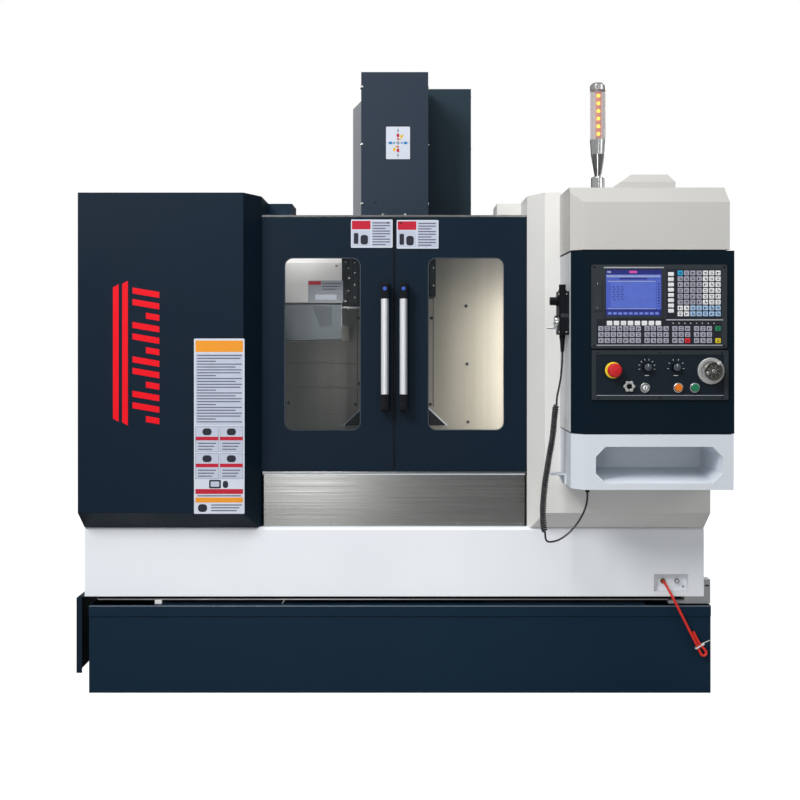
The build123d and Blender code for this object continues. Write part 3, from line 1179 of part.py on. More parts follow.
def estop_button():
    top = ESTOP_COLLAR_HEIGHT
    head = turned([
        (0, 0), (13, 0), (13, ESTOP_TRAVEL + 4), (ESTOP_HEAD_R, ESTOP_TRAVEL + 8),
        (ESTOP_HEAD_R, ESTOP_TRAVEL + 16), (ESTOP_HEAD_R - 5, ESTOP_TRAVEL + 21), (0, ESTOP_TRAVEL + 23),
    ])
    head = Pos(0, 0, top + ESTOP_TRAVEL + STAND_OFF) * head
    stem = Cylinder(CONTROL_SHAFT_R, top + ESTOP_TRAVEL + 2, align=(Align.CENTER, Align.CENTER, Align.MIN))
    return control(ESTOP_X, ESTOP_Z, head + stem, PANEL_FACE)


def rotary_knob(x):
    skirt = Cylinder(KNOB_R, 5, align=(Align.CENTER, Align.CENTER, Align.MIN))
    grip = Cylinder(KNOB_R - 3, KNOB_HEIGHT, align=(Align.CENTER, Align.CENTER, Align.MIN))
    for index in range(12):
        angle = radians(index * 30)
        grip -= Pos((KNOB_R - 2) * cos(angle), (KNOB_R - 2) * sin(angle), 0) * Cylinder(
            1.8, 60)
    head = Pos(0, 0, STAND_OFF) * (skirt + grip)
    return control(x, KNOB_Z, head, PANEL_FACE)


def panel_handwheel():
    rim = turned([
        (0, STAND_OFF), (HANDWHEEL_R - 2, STAND_OFF), (HANDWHEEL_R, STAND_OFF + 2),
        (HANDWHEEL_R, HANDWHEEL_THICK - 2), (HANDWHEEL_R - 2, HANDWHEEL_THICK),
        (HANDWHEEL_R - 9, HANDWHEEL_THICK), (HANDWHEEL_R - 12, HANDWHEEL_THICK - 4),
        (12, HANDWHEEL_THICK - 4),
        (10, HANDWHEEL_THICK + 3), (0, HANDWHEEL_THICK + 3),
    ])
    crank = turned([(0, HANDWHEEL_THICK - 6), (4, HANDWHEEL_THICK - 6), (4, HANDWHEEL_THICK + 4),
                    (6, HANDWHEEL_THICK + 8), (6, HANDWHEEL_THICK + 26), (0, HANDWHEEL_THICK + 28)])
    arm = HANDWHEEL_R - 10
    return control(HANDWHEEL_X, HANDWHEEL_Z, rim + Pos(arm * 0.55, arm * 0.83, 0) * crank, PANEL_FACE)


def key_switch():
    barrel = Cylinder(BUTTON_R, BUTTON_BEZEL_HEIGHT, align=(Align.CENTER, Align.CENTER, Align.MIN))
    barrel -= Pos(0, 0, BUTTON_BEZEL_HEIGHT) * Box(2.4, 13, 6)
    return control(KEYLOCK_X, BUTTON_Z, Pos(0, 0, STAND_OFF) * barrel, PANEL_FACE)


def push_button(x):
    cap = turned([(0, BUTTON_TRAVEL + STAND_OFF), (BUTTON_R, BUTTON_TRAVEL + STAND_OFF),
                  (BUTTON_R, BUTTON_PROUD - 1.5 + BUTTON_TRAVEL),
                  (BUTTON_R - 1.5, BUTTON_PROUD + BUTTON_TRAVEL),
                  (0, BUTTON_PROUD + BUTTON_TRAVEL)])
    stem = Cylinder(CONTROL_SHAFT_R, BUTTON_TRAVEL + 2, align=(Align.CENTER, Align.CENTER, Align.MIN))
    return control(x, BUTTON_Z, cap + stem, PANEL_FACE)


# Hand pulse unit
def mpg_body():
    y0 = PULSE_Y - PULSE_HALF
    y1 = PULSE_Y + PULSE_HALF
    body = block(PULSE_X0, CONSOLE_LEFT, y0, y1, PULSE_Z0, PULSE_Z1)
    body = chamfer(body.edges().filter_by(Axis.Z).sort_by(Axis.X)[:2], PULSE_BEVEL)
    bore = CONTROL_SHAFT_R + SHAFT_GAP
    for z in (PULSE_WHEEL_Z, PULSE_KNOB_Z):
        body -= rod_x(bore, PULSE_X0 - 1, PULSE_X0 + 19, PULSE_Y, z)
    return body - rod_z(bore, PULSE_Z1 - 15, PULSE_Z1 + 1, PULSE_CORD_X, PULSE_Y)


def mpg_handwheel():
    wheel = turned([
        (0, STAND_OFF), (PULSE_WHEEL_R, STAND_OFF), (PULSE_WHEEL_R, PULSE_WHEEL_THICK),
        (PULSE_WHEEL_R - 4, PULSE_WHEEL_THICK), (PULSE_WHEEL_R - 6, PULSE_WHEEL_THICK - 3),
        (7, PULSE_WHEEL_THICK - 3), (7, PULSE_WHEEL_THICK + 4), (0, PULSE_WHEEL_THICK + 4),
    ])
    crank = Pos(-(PULSE_WHEEL_R - 5), 0, 0) * turned([
        (0, PULSE_WHEEL_THICK - 5), (2.5, PULSE_WHEEL_THICK - 5), (2.5, PULSE_WHEEL_THICK + 3),
        (3.6, PULSE_WHEEL_THICK + 5), (3.0, PULSE_WHEEL_THICK + 23), (0, PULSE_WHEEL_THICK + 24),
    ])
    shaft = Cylinder(CONTROL_SHAFT_R, 18, align=(Align.CENTER, Align.CENTER, Align.MAX))
    return Pos(PULSE_X0, PULSE_Y, PULSE_WHEEL_Z) * Rot(0, -90, 0) * (wheel + crank + Pos(0, 0, 1) * shaft)


def fluted_knob(r, height):
    skirt = Cylinder(r + 2, 4, align=(Align.CENTER, Align.CENTER, Align.MIN))
    grip = Cylinder(r, height, align=(Align.CENTER, Align.CENTER, Align.MIN))
    for index in range(10):
        angle = radians(index * 36)
        grip -= Pos((r + 1) * cos(angle), (r + 1) * sin(angle), 0) * Cylinder(1.9, 80)
    shaft = Cylinder(CONTROL_SHAFT_R, 14, align=(Align.CENTER, Align.CENTER, Align.MAX))
    return Pos(0, 0, STAND_OFF) * (skirt + grip) + Pos(0, 0, 1) * shaft


def mpg_axis_knob():
    knob = fluted_knob(PULSE_KNOB_R, PULSE_KNOB_HEIGHT)
    return Pos(PULSE_X0, PULSE_Y, PULSE_KNOB_Z) * Rot(0, -90, 0) * knob


def mpg_rate_knob():
    return Pos(PULSE_CORD_X, PULSE_Y, PULSE_Z1) * fluted_knob(RATE_KNOB_R, RATE_KNOB_HEIGHT)


# Stack light and roof box
def light_post():
    z0 = TOP_BOX_Z1
    cone = z0 + LIGHT_BASE_HEIGHT
    post = turned([
        (0, z0), (LIGHT_BASE_R, z0), (LIGHT_BASE_R, cone - 3), (LIGHT_BASE_R - 3, cone),
        (LIGHT_NECK_R, cone + 3), (LIGHT_R - 3, cone + 66), (LIGHT_R, LIGHT_CONE_TOP),
        (LIGHT_CORE_R, LIGHT_CONE_TOP), (LIGHT_CORE_R, LIGHT_LENS_TOP), (LIGHT_R, LIGHT_LENS_TOP),
        (LIGHT_R, LIGHT_TOP - 7), (LIGHT_R - 7, LIGHT_TOP), (0, LIGHT_TOP),
    ])
    return Pos(LIGHT_X, LIGHT_Y, 0) * post


def light_lens():
    height = LIGHT_LENS_TOP - LIGHT_CONE_TOP
    tube = Cylinder(LIGHT_R, height) - Cylinder(LIGHT_R - LIGHT_LENS_WALL, height)
    return Pos(LIGHT_X, LIGHT_Y, (LIGHT_CONE_TOP + LIGHT_LENS_TOP) / 2) * tube


def roof_hood():
    z0 = TOP_BOX_Z1
    hood = prism_x([
        (HOOD_FRONT, z0), (HOOD_BACK, z0), (HOOD_BACK, z0 + HOOD_HEIGHT),
        (HOOD_FRONT + HOOD_RUN, z0 + HOOD_HEIGHT), (HOOD_FRONT, z0 + HOOD_FACE),
    ], HOOD_X0, HOOD_X1)
    front_cut = [
        (HOOD_X0 - 1, z0), (HOOD_X0 + HOOD_SLOPE, z0 + HOOD_HEIGHT + 1), (HOOD_X0 - 1, z0 + HOOD_HEIGHT + 1),
    ]
    hood -= prism_y(front_cut, HOOD_FRONT - 1, HOOD_BACK + 1)
    back_cut = [
        (HOOD_X1 + 1, z0 + 20), (HOOD_X1 + 1, z0 + HOOD_HEIGHT + 1), (HOOD_X1 - 18, z0 + HOOD_HEIGHT + 1),
    ]
    return hood - prism_y(back_cut, HOOD_FRONT - 1, HOOD_BACK + 1)


# Glands and cords
def gland(length, tip_r):
    """A gland nut with a ribbed strain relief, hanging down from the origin."""
    points = [(0, 0), (GLAND_R, 0), (GLAND_R, -GLAND_NUT)]
    ribs = max(1, int((length - GLAND_NUT) / 8))
    pitch = (length - GLAND_NUT) / ribs
    for index in range(ribs):
        r = GLAND_R - 1.5 - (GLAND_R - 1.5 - tip_r) * index / ribs
        z = -GLAND_NUT - index * pitch
        points += [(r, z), (r, z - pitch * 0.6), (r - 1.0, z - pitch * 0.6), (r - 1.0, z - pitch)]
    points += [(0, -length)]
    return turned(points)


def cable_glands():
    upper = Pos(PULSE_CORD_X, PULSE_Y, PULSE_Z0) * gland(GLAND_LENGTH, GLAND_TIP_R)
    lower = Pos(TRAY_GLAND_X, PULSE_Y, TRAY_BOX_Z0) * gland(TRAY_GLAND_LENGTH, GLAND_TIP_R)
    return Compound(children=[upper, lower])


def corner_radii(points):
    radii = []
    for before, corner, after in zip(points, points[1:], points[2:]):
        first = Vector(*corner) - Vector(*before)
        second = Vector(*after) - Vector(*corner)
        turn = radians(first.get_angle(second))
        radii.append(0.45 * min(first.length, second.length) / tan(turn / 2))
    return radii


def tube(name, points, r):
    radii = corner_radii(points)
    path = FilletPolyline(*points, radius=radii)
    start = Vector(*points[1]) - Vector(*points[0])
    section = Plane(origin=points[0], z_dir=tuple(start)) * Circle(r)
    solid = sweep(section, path=path)
    expected = pi * r * r * path.length
    print(f"{name}: length {path.length:.0f} mm, radii", [round(value) for value in radii],
          f"volume {solid.volume / expected:.4f} of section times length")
    return solid


NODES = {
    "bed_casting": bed_casting,
    "levelling_feet": levelling_feet,
    "column": column,
    "axis_motors": axis_motors,
    "saddle": saddle,
    "table": table,
    "x_ballscrew": x_ballscrew,
    "y_ballscrew": y_ballscrew,
    "z_ballscrew": z_ballscrew,
    "head_casting": head_casting,
    "spindle": spindle,
    "spindle_motor": spindle_motor,
    "head_cover": head_cover,
    "column_cover": column_cover,
    "column_side_cover": column_side_cover,
    "carousel": carousel,
    "magazine_carriage": magazine_carriage,
    "magazine_cover": magazine_cover,
    "base_tray": base_tray,
    "left_housing": side_housing,
    "right_housing": lambda: mirrored(side_housing()),
    "rear_splash_guard": rear_splash_guard,
    "coolant_tank": coolant_tank,
    "side_skirts": side_skirts,
    "apron_panel": apron_panel,
    "door_tracks": door_tracks,
    "left_door": left_door,
    "left_window": left_window,
    "left_handle": left_handle,
    "right_door": lambda: mirrored(left_door()),
    "right_window": lambda: mirrored(left_window()),
    "right_handle": lambda: mirrored(left_handle()),
    "electrical_cabinet": electrical_cabinet,
    "cabinet_door": cabinet_door,
    "main_switch": main_switch,
    "console_top_box": console_top_box,
    "console_body": console_body,
    "console_tray": console_tray,
    "cnc_unit": cnc_unit,
    "screen": screen,
    "keypad": keypad,
    "operator_panel": operator_panel,
    "estop_button": estop_button,
    "feed_knob": lambda: rotary_knob(KNOB_X[0]),
    "spindle_knob": lambda: rotary_knob(KNOB_X[1]),
    "panel_handwheel": panel_handwheel,
    "key_switch": key_switch,
    "orange_button": lambda: push_button(BUTTON_X[0]),
    "green_button": lambda: push_button(BUTTON_X[1]),
    "mpg_body": mpg_body,
    "mpg_handwheel": mpg_handwheel,
    "mpg_axis_knob": mpg_axis_knob,
    "mpg_rate_knob": mpg_rate_knob,
    "light_post": light_post,
    "light_lens": light_lens,
    "cable_glands": cable_glands,
    "mpg_cord_upper": lambda: tube("upper cord", CORD_UPPER, CORD_R),
    "mpg_cord_coil": lambda: tube("coil", COIL_ROUTE, COIL_R),
    "mpg_cord_lower": lambda: tube("lower cord", CORD_LOWER, CORD_R),
    "air_hose": lambda: tube("hose", HOSE_ROUTE, HOSE_R),
}

os.makedirs("parts", exist_ok=True)
for node, make in NODES.items():
    export_step(make(), f"parts/{node}.step")
print(len(NODES), "nodes written")
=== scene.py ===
import bmesh
import bpy
from math import cos, pi, radians, sin
from mathutils import Matrix, Vector

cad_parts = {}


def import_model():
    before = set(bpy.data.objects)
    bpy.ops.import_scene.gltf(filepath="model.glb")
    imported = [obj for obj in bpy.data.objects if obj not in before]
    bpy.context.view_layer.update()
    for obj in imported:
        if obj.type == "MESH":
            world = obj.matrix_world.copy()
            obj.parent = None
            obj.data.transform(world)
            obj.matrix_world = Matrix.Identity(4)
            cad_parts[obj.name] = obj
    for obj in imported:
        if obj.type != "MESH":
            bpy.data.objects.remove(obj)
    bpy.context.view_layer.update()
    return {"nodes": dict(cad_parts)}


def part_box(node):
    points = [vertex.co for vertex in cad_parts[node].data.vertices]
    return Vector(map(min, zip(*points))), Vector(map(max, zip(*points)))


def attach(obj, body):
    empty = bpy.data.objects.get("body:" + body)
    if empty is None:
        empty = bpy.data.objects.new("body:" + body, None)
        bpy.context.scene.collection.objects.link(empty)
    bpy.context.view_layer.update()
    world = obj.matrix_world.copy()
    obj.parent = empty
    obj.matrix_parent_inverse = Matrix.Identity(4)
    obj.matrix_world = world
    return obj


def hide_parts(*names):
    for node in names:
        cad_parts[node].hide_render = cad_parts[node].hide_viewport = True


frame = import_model()

# Camera, in metres: level, with the horizon above the middle of the picture
CAMERA_PLACE = (0.018, -3.993, 1.092)
PICTURE = 800
FOCAL_PIXELS = 1131
HORIZON_ROW = 341
SENSOR = 36.0

# Planes that the details sit on, read from the model
MM = 0.001
HOUSING_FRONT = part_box("left_housing")[0][1]
DOOR_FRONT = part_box("left_door")[0][1]
APRON_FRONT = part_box("apron_panel")[0][1]
HEAD_COVER_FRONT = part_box("head_cover")[0][1]
UNIT_FACE = -0.796
PANEL_FACE = -0.794
CONSOLE_FRONT = -0.79
REAR_SHEET = 0.24
INK = 0.0002       # thickness of a printed field
STICKER = 0.0006   # how far a sticker's first fields stand out
OVER = STICKER + INK


# Colours, written as the sRGB values that a paint chart would give; the few with light or shade painted in
# say so where they are set
def srgb(red, green, blue):
    def linear(value):
        value /= 255
        return value / 12.92 if value <= 0.04045 else ((value + 0.055) / 1.055) ** 2.4
    return (linear(red), linear(green), linear(blue), 1.0)


# Materials
def add_node(tree, kind, **values):
    """A new shader node with its sockets set; an underscore stands for a space in a socket's name."""
    node = tree.nodes.new("ShaderNode" + kind)
    for name, value in values.items():
        node.inputs[name.replace("_", " ")].default_value = value
    return node


def math_node(tree, operation):
    node = add_node(tree, "Math")
    node.operation = operation
    return node


class Finish:
    """A Principled material, built up by short calls."""

    def __init__(self, name, colour, roughness, metallic=0.0, specular=0.5):
        self.material = bpy.data.materials.new(name)
        self.material.use_nodes = True
        self.tree = self.material.node_tree
        self.links = self.tree.links
        self.inputs = self.tree.nodes["Principled BSDF"].inputs
        self.colour = colour
        self.inputs["Base Color"].default_value = colour
        self.inputs["Roughness"].default_value = roughness
        self.inputs["Metallic"].default_value = metallic
        self.inputs["Specular IOR Level"].default_value = specular
        self.place = add_node(self.tree, "TexCoord").outputs["Object"]
        self.normal = None

    def noise(self, scale, stretch=(1, 1, 1), detail=2.0, roughness=0.5):
        mapping = add_node(self.tree, "Mapping", Scale=stretch)
        self.links.new(self.place, mapping.inputs["Vector"])
        texture = add_node(self.tree, "TexNoise", Scale=scale, Detail=detail, Roughness=roughness)
        self.links.new(mapping.outputs["Vector"], texture.inputs["Vector"])
        return texture.outputs["Fac"]

    def ramp(self, factor, low, high, start=0.3, end=0.7):
        """Leads the base colour from one colour to another."""
        ramp = add_node(self.tree, "ValToRGB")
        first, last = ramp.color_ramp.elements
        first.position, first.color = start, low
        last.position, last.color = end, high
        self.links.new(factor, ramp.inputs["Fac"])
        self.links.new(ramp.outputs["Color"], self.inputs["Base Color"])

    def tint(self, factor, darker, lighter, start=0.3, end=0.7):
        """Varies the colour between two shares of itself."""
        low, high = ([min(1, channel * share) for channel in self.colour[:3]] + [1]
                     for share in (darker, lighter))
        self.ramp(factor, low, high, start, end)

    def gloss(self, factor, low, high):
        span = add_node(self.tree, "MapRange", From_Min=0.3, From_Max=0.7, To_Min=low, To_Max=high)
        self.links.new(factor, span.inputs["Value"])
        self.links.new(span.outputs["Result"], self.inputs["Roughness"])

    def soft_edges(self, radius):
        """Rounds the look of folded and cast edges."""
        bevel = add_node(self.tree, "Bevel", Radius=radius)
        bevel.samples = 4
        self.set_normal(bevel)

    def bump(self, factor, depth, strength):
        bump = add_node(self.tree, "Bump", Distance=depth, Strength=strength)
        self.links.new(factor, bump.inputs["Height"])
        if self.normal:
            self.links.new(self.normal, bump.inputs["Normal"])
        self.set_normal(bump)

    def set_normal(self, node):
        self.normal = node.outputs["Normal"]
        self.links.new(self.normal, self.inputs["Normal"])


def powder_coat(name, colour, roughness=0.42, specular=0.5, grain=0.00012):
    """Smooth powder coat with a faint orange peel."""
    finish = Finish(name, colour, roughness, specular=specular)
    finish.tint(finish.noise(1.3, detail=3), 0.94, 1.06)
    finish.gloss(finish.noise(6, detail=4), roughness - 0.05, roughness + 0.06)
    finish.soft_edges(0.0012)
    finish.bump(finish.noise(420, detail=3), grain, 0.35)
    return finish.material


def wrinkle_coat(name, colour, specular):
    """Coarse wrinkle finish, its raised tops painted lighter as a highlight and its hollows painted darker
    as shade.
    """
    finish = Finish(name, colour, 0.5, specular=specular)
    grain = finish.noise(340, detail=5, roughness=0.65)
    # Lighter on the wrinkles' tops and darker in their hollows, following the bump: painted highlight and
    # shade
    finish.tint(grain, 0.72, 1.75, 0.42, 0.68)
    finish.gloss(grain, 0.62, 0.36)
    finish.soft_edges(0.001)
    finish.bump(grain, 0.0011, 0.75)
    return finish.material


def brushed(name, colour, direction, roughness=0.34, streak=0.12, metallic=1.0):
    """Sheet metal brushed along one direction."""
    along = tuple(1.2 if axis == direction else 260 for axis in "xyz")
    wide = tuple(0.5 if axis == direction else 26 for axis in "xyz")
    finish = Finish(name, colour, roughness, metallic)
    lines = finish.noise(1, along, detail=4, roughness=0.6)
    finish.tint(finish.noise(1, wide, detail=5), 1 - streak, 1 + streak)
    finish.gloss(lines, roughness - 0.06, roughness + 0.1)
    finish.soft_edges(0.0006)
    finish.bump(lines, 0.00005, 0.3)
    return finish.material


def machined(name, colour, roughness=0.3, metallic=1.0):
    finish = Finish(name, colour, roughness, metallic)
    finish.tint(finish.noise(14, detail=3), 0.88, 1.08)
    finish.gloss(finish.noise(60, (1, 6, 1), detail=2), roughness - 0.01, roughness + 0.03)
    finish.soft_edges(0.0006)
    return finish.material


def cast_paint(name, colour):
    finish = Finish(name, colour, 0.55)
    finish.tint(finish.noise(5, detail=4), 0.85, 1.15)
    finish.soft_edges(0.004)
    finish.bump(finish.noise(60, detail=4), 0.0008, 0.5)
    return finish.material


def moulded(name, colour, roughness=0.45, specular=0.5):
    finish = Finish(name, colour, roughness, specular=specular)
    finish.tint(finish.noise(30), 0.93, 1.07)
    finish.gloss(finish.noise(55, detail=3), roughness - 0.05, roughness + 0.05)
    finish.soft_edges(0.0005)
    finish.bump(finish.noise(900), 0.00015, 0.3)
    return finish.material


def printed(name, colour, roughness=0.46):
    finish = Finish(name, colour, roughness, specular=0.22)
    finish.tint(finish.noise(24, detail=3), 0.97, 1.03)
    finish.gloss(finish.noise(40), roughness - 0.05, roughness + 0.08)
    return finish.material


def two_coats(name, left, right, border):
    """One paint to the left of a place on X and another to its right."""
    finish = Finish(name, left, 0.44, specular=0.16)
    across = add_node(finish.tree, "SeparateXYZ")
    finish.links.new(finish.place, across.inputs["Vector"])
    side = math_node(finish.tree, "GREATER_THAN")
    side.inputs[1].default_value = border
    finish.links.new(across.outputs["X"], side.inputs[0])
    finish.ramp(side.outputs["Value"], left, right)
    finish.soft_edges(0.0008)
    finish.bump(finish.noise(420, detail=3), 0.00012, 0.35)
    return finish.material


def glowing(name, colour, strength):
    finish = Finish(name, colour, 0.3)
    finish.tint(finish.noise(60), 0.92, 1.06)
    finish.inputs["Emission Color"].default_value = colour
    finish.inputs["Emission Strength"].default_value = strength
    return finish.material


def clear_sheet(name, colour, alpha, roughness=0.04):
    finish = Finish(name, colour, roughness)
    finish.gloss(finish.noise(3, detail=3), roughness - 0.02, roughness + 0.03)
    finish.inputs["Alpha"].default_value = alpha
    return finish.material


NAVY = powder_coat("navy_powder_coat", srgb(12, 30, 45), 0.46, 0.12)
CONSOLE_NAVY = powder_coat("console_powder_coat", srgb(7, 24, 35), 0.46, 0.09)
SKIRT_PAINT = two_coats("skirt_coats", srgb(12, 30, 45), srgb(150, 152, 154), 0.0)
TANK_NAVY = powder_coat("tank_powder_coat", srgb(15, 38, 56), 0.42, 0.14)
# Lighter navy for the tank's rim: a painted highlight along its top edge
RIM_HIGHLIGHT_NAVY = powder_coat("rolled_rim_painted_highlight", srgb(84, 98, 112), 0.24, 0.8)
WHITE = powder_coat("white_powder_coat", srgb(231, 230, 227), 0.45)
# The console's top box has the housings' white paint; this copy is darker, a painted shade
TOP_WHITE_PAINTED_SHADE = powder_coat("top_box_white_painted_shade", srgb(196, 195, 191), 0.45)
TRAY_WHITE = powder_coat("cool_white_powder_coat", srgb(212, 218, 226), 0.45)
# The base tray's white, lightened as painted light because the tray sits low and the lamps light it less
BASE_WHITE_PAINTED_LIGHT = powder_coat("base_tray_white_painted_light", srgb(240, 244, 250), 0.45)
CORNER_GREY = powder_coat("console_side_coat", srgb(196, 200, 203), 0.35)
WRINKLE = wrinkle_coat("wrinkle_powder_coat", srgb(31, 45, 61), 0.24)
HEAD_PAINT = wrinkle_coat("head_casting_coat", srgb(9, 11, 15), 0.1)
SHROUD = powder_coat("column_cover_coat", srgb(36, 53, 64), 0.5, 0.16, 0.0003)
SKIRT_GREY = moulded("magazine_skirt_grey", srgb(112, 121, 127), 0.35)
# Darker grey for a patch on the magazine skirt: a painted shadow
SKIRT_PAINTED_SHADOW = moulded("magazine_skirt_painted_shadow", srgb(84, 92, 96), 0.4)
SIDE_GREY = powder_coat("side_cover_grey", srgb(133, 137, 142), 0.4)
STAINLESS = brushed("brushed_stainless", srgb(148, 149, 147), "x", 0.22, 0.03)
WALL_STEEL = brushed("rear_sheet_steel", srgb(150, 147, 140), "z", 0.42, 0.07, 0.3)
CASTING = cast_paint("painted_casting", srgb(62, 70, 74))
GREY_CAST = cast_paint("grey_carriage_paint", srgb(128, 136, 140))
STEEL = machined("ground_steel", srgb(178, 178, 176))
WHEEL_RIM = machined("handwheel_rim", srgb(196, 197, 196), 0.3, 0.5)
SCREW = machined("screw_steel", srgb(190, 190, 188), 0.25)
DARK_SCREW = machined("black_screw", srgb(52, 54, 56), 0.4)
CHROME = machined("chrome", srgb(226, 227, 228), 0.12)
# Darker copy of the handles' aluminium for the right side of each bar: a painted shade
BAR_PAINTED_SHADE = brushed("brushed_bar_painted_shade", srgb(140, 146, 153), "z", 0.36, 0.04, 0.5)
ALUMINIUM = brushed("brushed_aluminium", srgb(222, 225, 229), "z", 0.36, 0.04, 0.5)
BRASS = machined("brass", srgb(150, 120, 66), 0.3)
BLACK = moulded("black_moulding", srgb(9, 12, 18), 0.4, 0.18)
RUBBER = moulded("black_rubber", srgb(9, 11, 14), 0.6, 0.15)
CORD_BLACK = moulded("cord_black", srgb(13, 14, 17), 0.28, 0.7)
WINDOW_EDGE = moulded("window_edge", srgb(58, 68, 76), 0.4, 0.4)
MOTOR = cast_paint("motor_black", srgb(27, 28, 31))
UNIT_FRAME = moulded("unit_frame_grey", srgb(42, 48, 53), 0.5, 0.3)
UNIT_SHEET = moulded("unit_membrane", srgb(28, 30, 40), 0.5, 0.3)
PANEL_SHEET = moulded("panel_sheet", srgb(18, 29, 39), 0.45, 0.2)
PANEL_RIM = powder_coat("panel_rim", srgb(42, 49, 54), 0.45, 0.2)
KEY_WHITE = moulded("key_white", srgb(224, 226, 228), 0.4)
KEY_GREY = moulded("key_grey", srgb(158, 158, 174), 0.45)
KEY_CYAN = moulded("key_cyan", srgb(32, 158, 206), 0.4)
KEY_BLUE = moulded("key_pale_blue", srgb(158, 190, 224), 0.4)
KEY_RED = moulded("key_red", srgb(214, 34, 46), 0.4)
KEY_GREEN = moulded("key_green", srgb(18, 134, 84), 0.4)
KEY_YELLOW = moulded("key_yellow", srgb(222, 196, 32), 0.4)
LEGEND = printed("legend_ink", srgb(24, 24, 34))
DIAL_GREY = moulded("dial_face_grey", srgb(58, 68, 80), 0.4)
WHEEL_DARK = machined("handwheel_hub", srgb(96, 95, 90), 0.34)
MARK = printed("dial_ink", srgb(205, 208, 208))
RED = moulded("signal_red", srgb(196, 26, 30), 0.35)
YELLOW = moulded("signal_yellow", srgb(236, 204, 20), 0.4)
ORANGE = moulded("signal_orange", srgb(220, 116, 22), 0.35)
GREEN = moulded("signal_green", srgb(16, 118, 80), 0.35)
BLUE_PLUG = moulded("blue_plug", srgb(40, 84, 178), 0.35)
RED_STRIPE = printed("red_stripe", srgb(228, 0, 24))
PLATE_WHITE = printed("plate_white", srgb(206, 212, 224))
PLATE_PALE = printed("plate_pale_blue", srgb(186, 193, 210))
PLATE_GREY = printed("plate_grey", srgb(160, 164, 172))
PLATE_TEXT = printed("plate_line_ink", srgb(92, 95, 114))
PLATE_DARK = printed("plate_dark_ink", srgb(40, 42, 54))
PLATE_ORANGE = printed("plate_orange", srgb(232, 150, 44))
PLATE_RED = printed("plate_red", srgb(186, 30, 54))
PLATE_BLUE = printed("plate_blue", srgb(34, 128, 190))
PLATE_YELLOW = printed("plate_yellow", srgb(222, 182, 48))
LCD_BLUE = glowing("lcd_blue", srgb(62, 82, 166), 0.3)
LCD_DARK = glowing("lcd_dark_blue", srgb(24, 30, 104), 0.28)
LCD_PALE = glowing("lcd_pale", srgb(74, 94, 176), 0.3)
LCD_LINE = glowing("lcd_line", srgb(128, 138, 178), 0.3)
LCD_RED = glowing("lcd_red", srgb(176, 66, 132), 0.5)
LED_AMBER = glowing("led_amber", srgb(255, 168, 10), 5.0)
LED_STRIP = glowing("led_strip", srgb(214, 132, 104), 0.25)
WINDOW = clear_sheet("window_glass", srgb(100, 110, 114), 0.06)
LENS = clear_sheet("lamp_lens", srgb(176, 158, 158), 0.27, 0.25)
HOSE_RED = moulded("hose_red", srgb(226, 48, 34), 0.32)
TIE_WHITE = moulded("tie_white", srgb(226, 226, 224), 0.4)

# The nodes that each material dresses
DRESSED = (
    (CASTING, "bed_casting column saddle"),
    (STEEL, "levelling_feet table x_ballscrew y_ballscrew z_ballscrew spindle"),
    (MOTOR, "axis_motors spindle_motor"),
    (HEAD_PAINT, "head_casting"),
    (WRINKLE, "head_cover"),
    (SHROUD, "column_cover"),
    (SIDE_GREY, "column_side_cover"),
    (ALUMINIUM, "carousel left_handle right_handle"),
    (GREY_CAST, "magazine_carriage"),
    (WHITE, "magazine_cover right_housing electrical_cabinet cabinet_door"),
    (BASE_WHITE_PAINTED_LIGHT, "base_tray"),
    (NAVY, "left_housing left_door right_door"),
    (WALL_STEEL, "rear_splash_guard"),
    (TANK_NAVY, "coolant_tank"),
    (SKIRT_PAINT, "side_skirts"),
    (STAINLESS, "apron_panel door_tracks"),
    (WINDOW, "left_window right_window"),
    (TOP_WHITE_PAINTED_SHADE, "console_top_box"),
    (CONSOLE_NAVY, "console_body"),
    (TRAY_WHITE, "console_tray"),
    (UNIT_FRAME, "cnc_unit"),
    (UNIT_SHEET, "keypad"),
    (LCD_BLUE, "screen"),
    (PANEL_SHEET, "operator_panel"),
    (WHEEL_RIM, "panel_handwheel"),
    (RED, "main_switch estop_button"),
    (ORANGE, "orange_button"),
    (GREEN, "green_button"),
    (BLACK, "feed_knob spindle_knob mpg_body mpg_axis_knob mpg_rate_knob cable_glands"),
    (CHROME, "key_switch mpg_handwheel light_post"),
    (LENS, "light_lens"),
    (CORD_BLACK, "mpg_cord_upper mpg_cord_coil mpg_cord_lower"),
    (HOSE_RED, "air_hose"),
)


def dress_nodes():
    for material, names in DRESSED:
        for name in names.split():
            node = frame["nodes"][name]
            if not node.material_slots:
                node.data.materials.append(material)
            for slot in node.material_slots:
                slot.material = material


# Places and directions: local X and Y lie in the face, and local Z stands on it
FACING_FRONT = Matrix.Rotation(pi / 2, 4, "X")
FACING_BACK = Matrix.Rotation(-pi / 2, 4, "X")
FACING_LEFT = Matrix.Rotation(-pi / 2, 4, "Y")
FACING_RIGHT = Matrix.Rotation(pi / 2, 4, "Y")

# An outline drawn in the side view, Y and Z, and raised along X
SIDE_VIEW = Matrix(((0, 0, 1, 0), (1, 0, 0, 0), (0, 1, 0, 0), (0, 0, 0, 1)))


def shift(x, y, z):
    return Matrix.Translation((x, y, z))


def turn_about(axis, degrees):
    return Matrix.Rotation(radians(degrees), 4, axis)


def on_front(x, y, z):
    return shift(x, y, z) @ FACING_FRONT


def front_of(node, sunk=0.0):
    """The middle of a node's front, or a place that much behind it."""
    low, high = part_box(node)
    return on_front((low[0] + high[0]) / 2, low[1] + sunk, (low[2] + high[2]) / 2)


def rows_of(xs, y, zs):
    """Places in rows, from the first height on."""
    return [(x, y, z) for z in zs for x in xs]


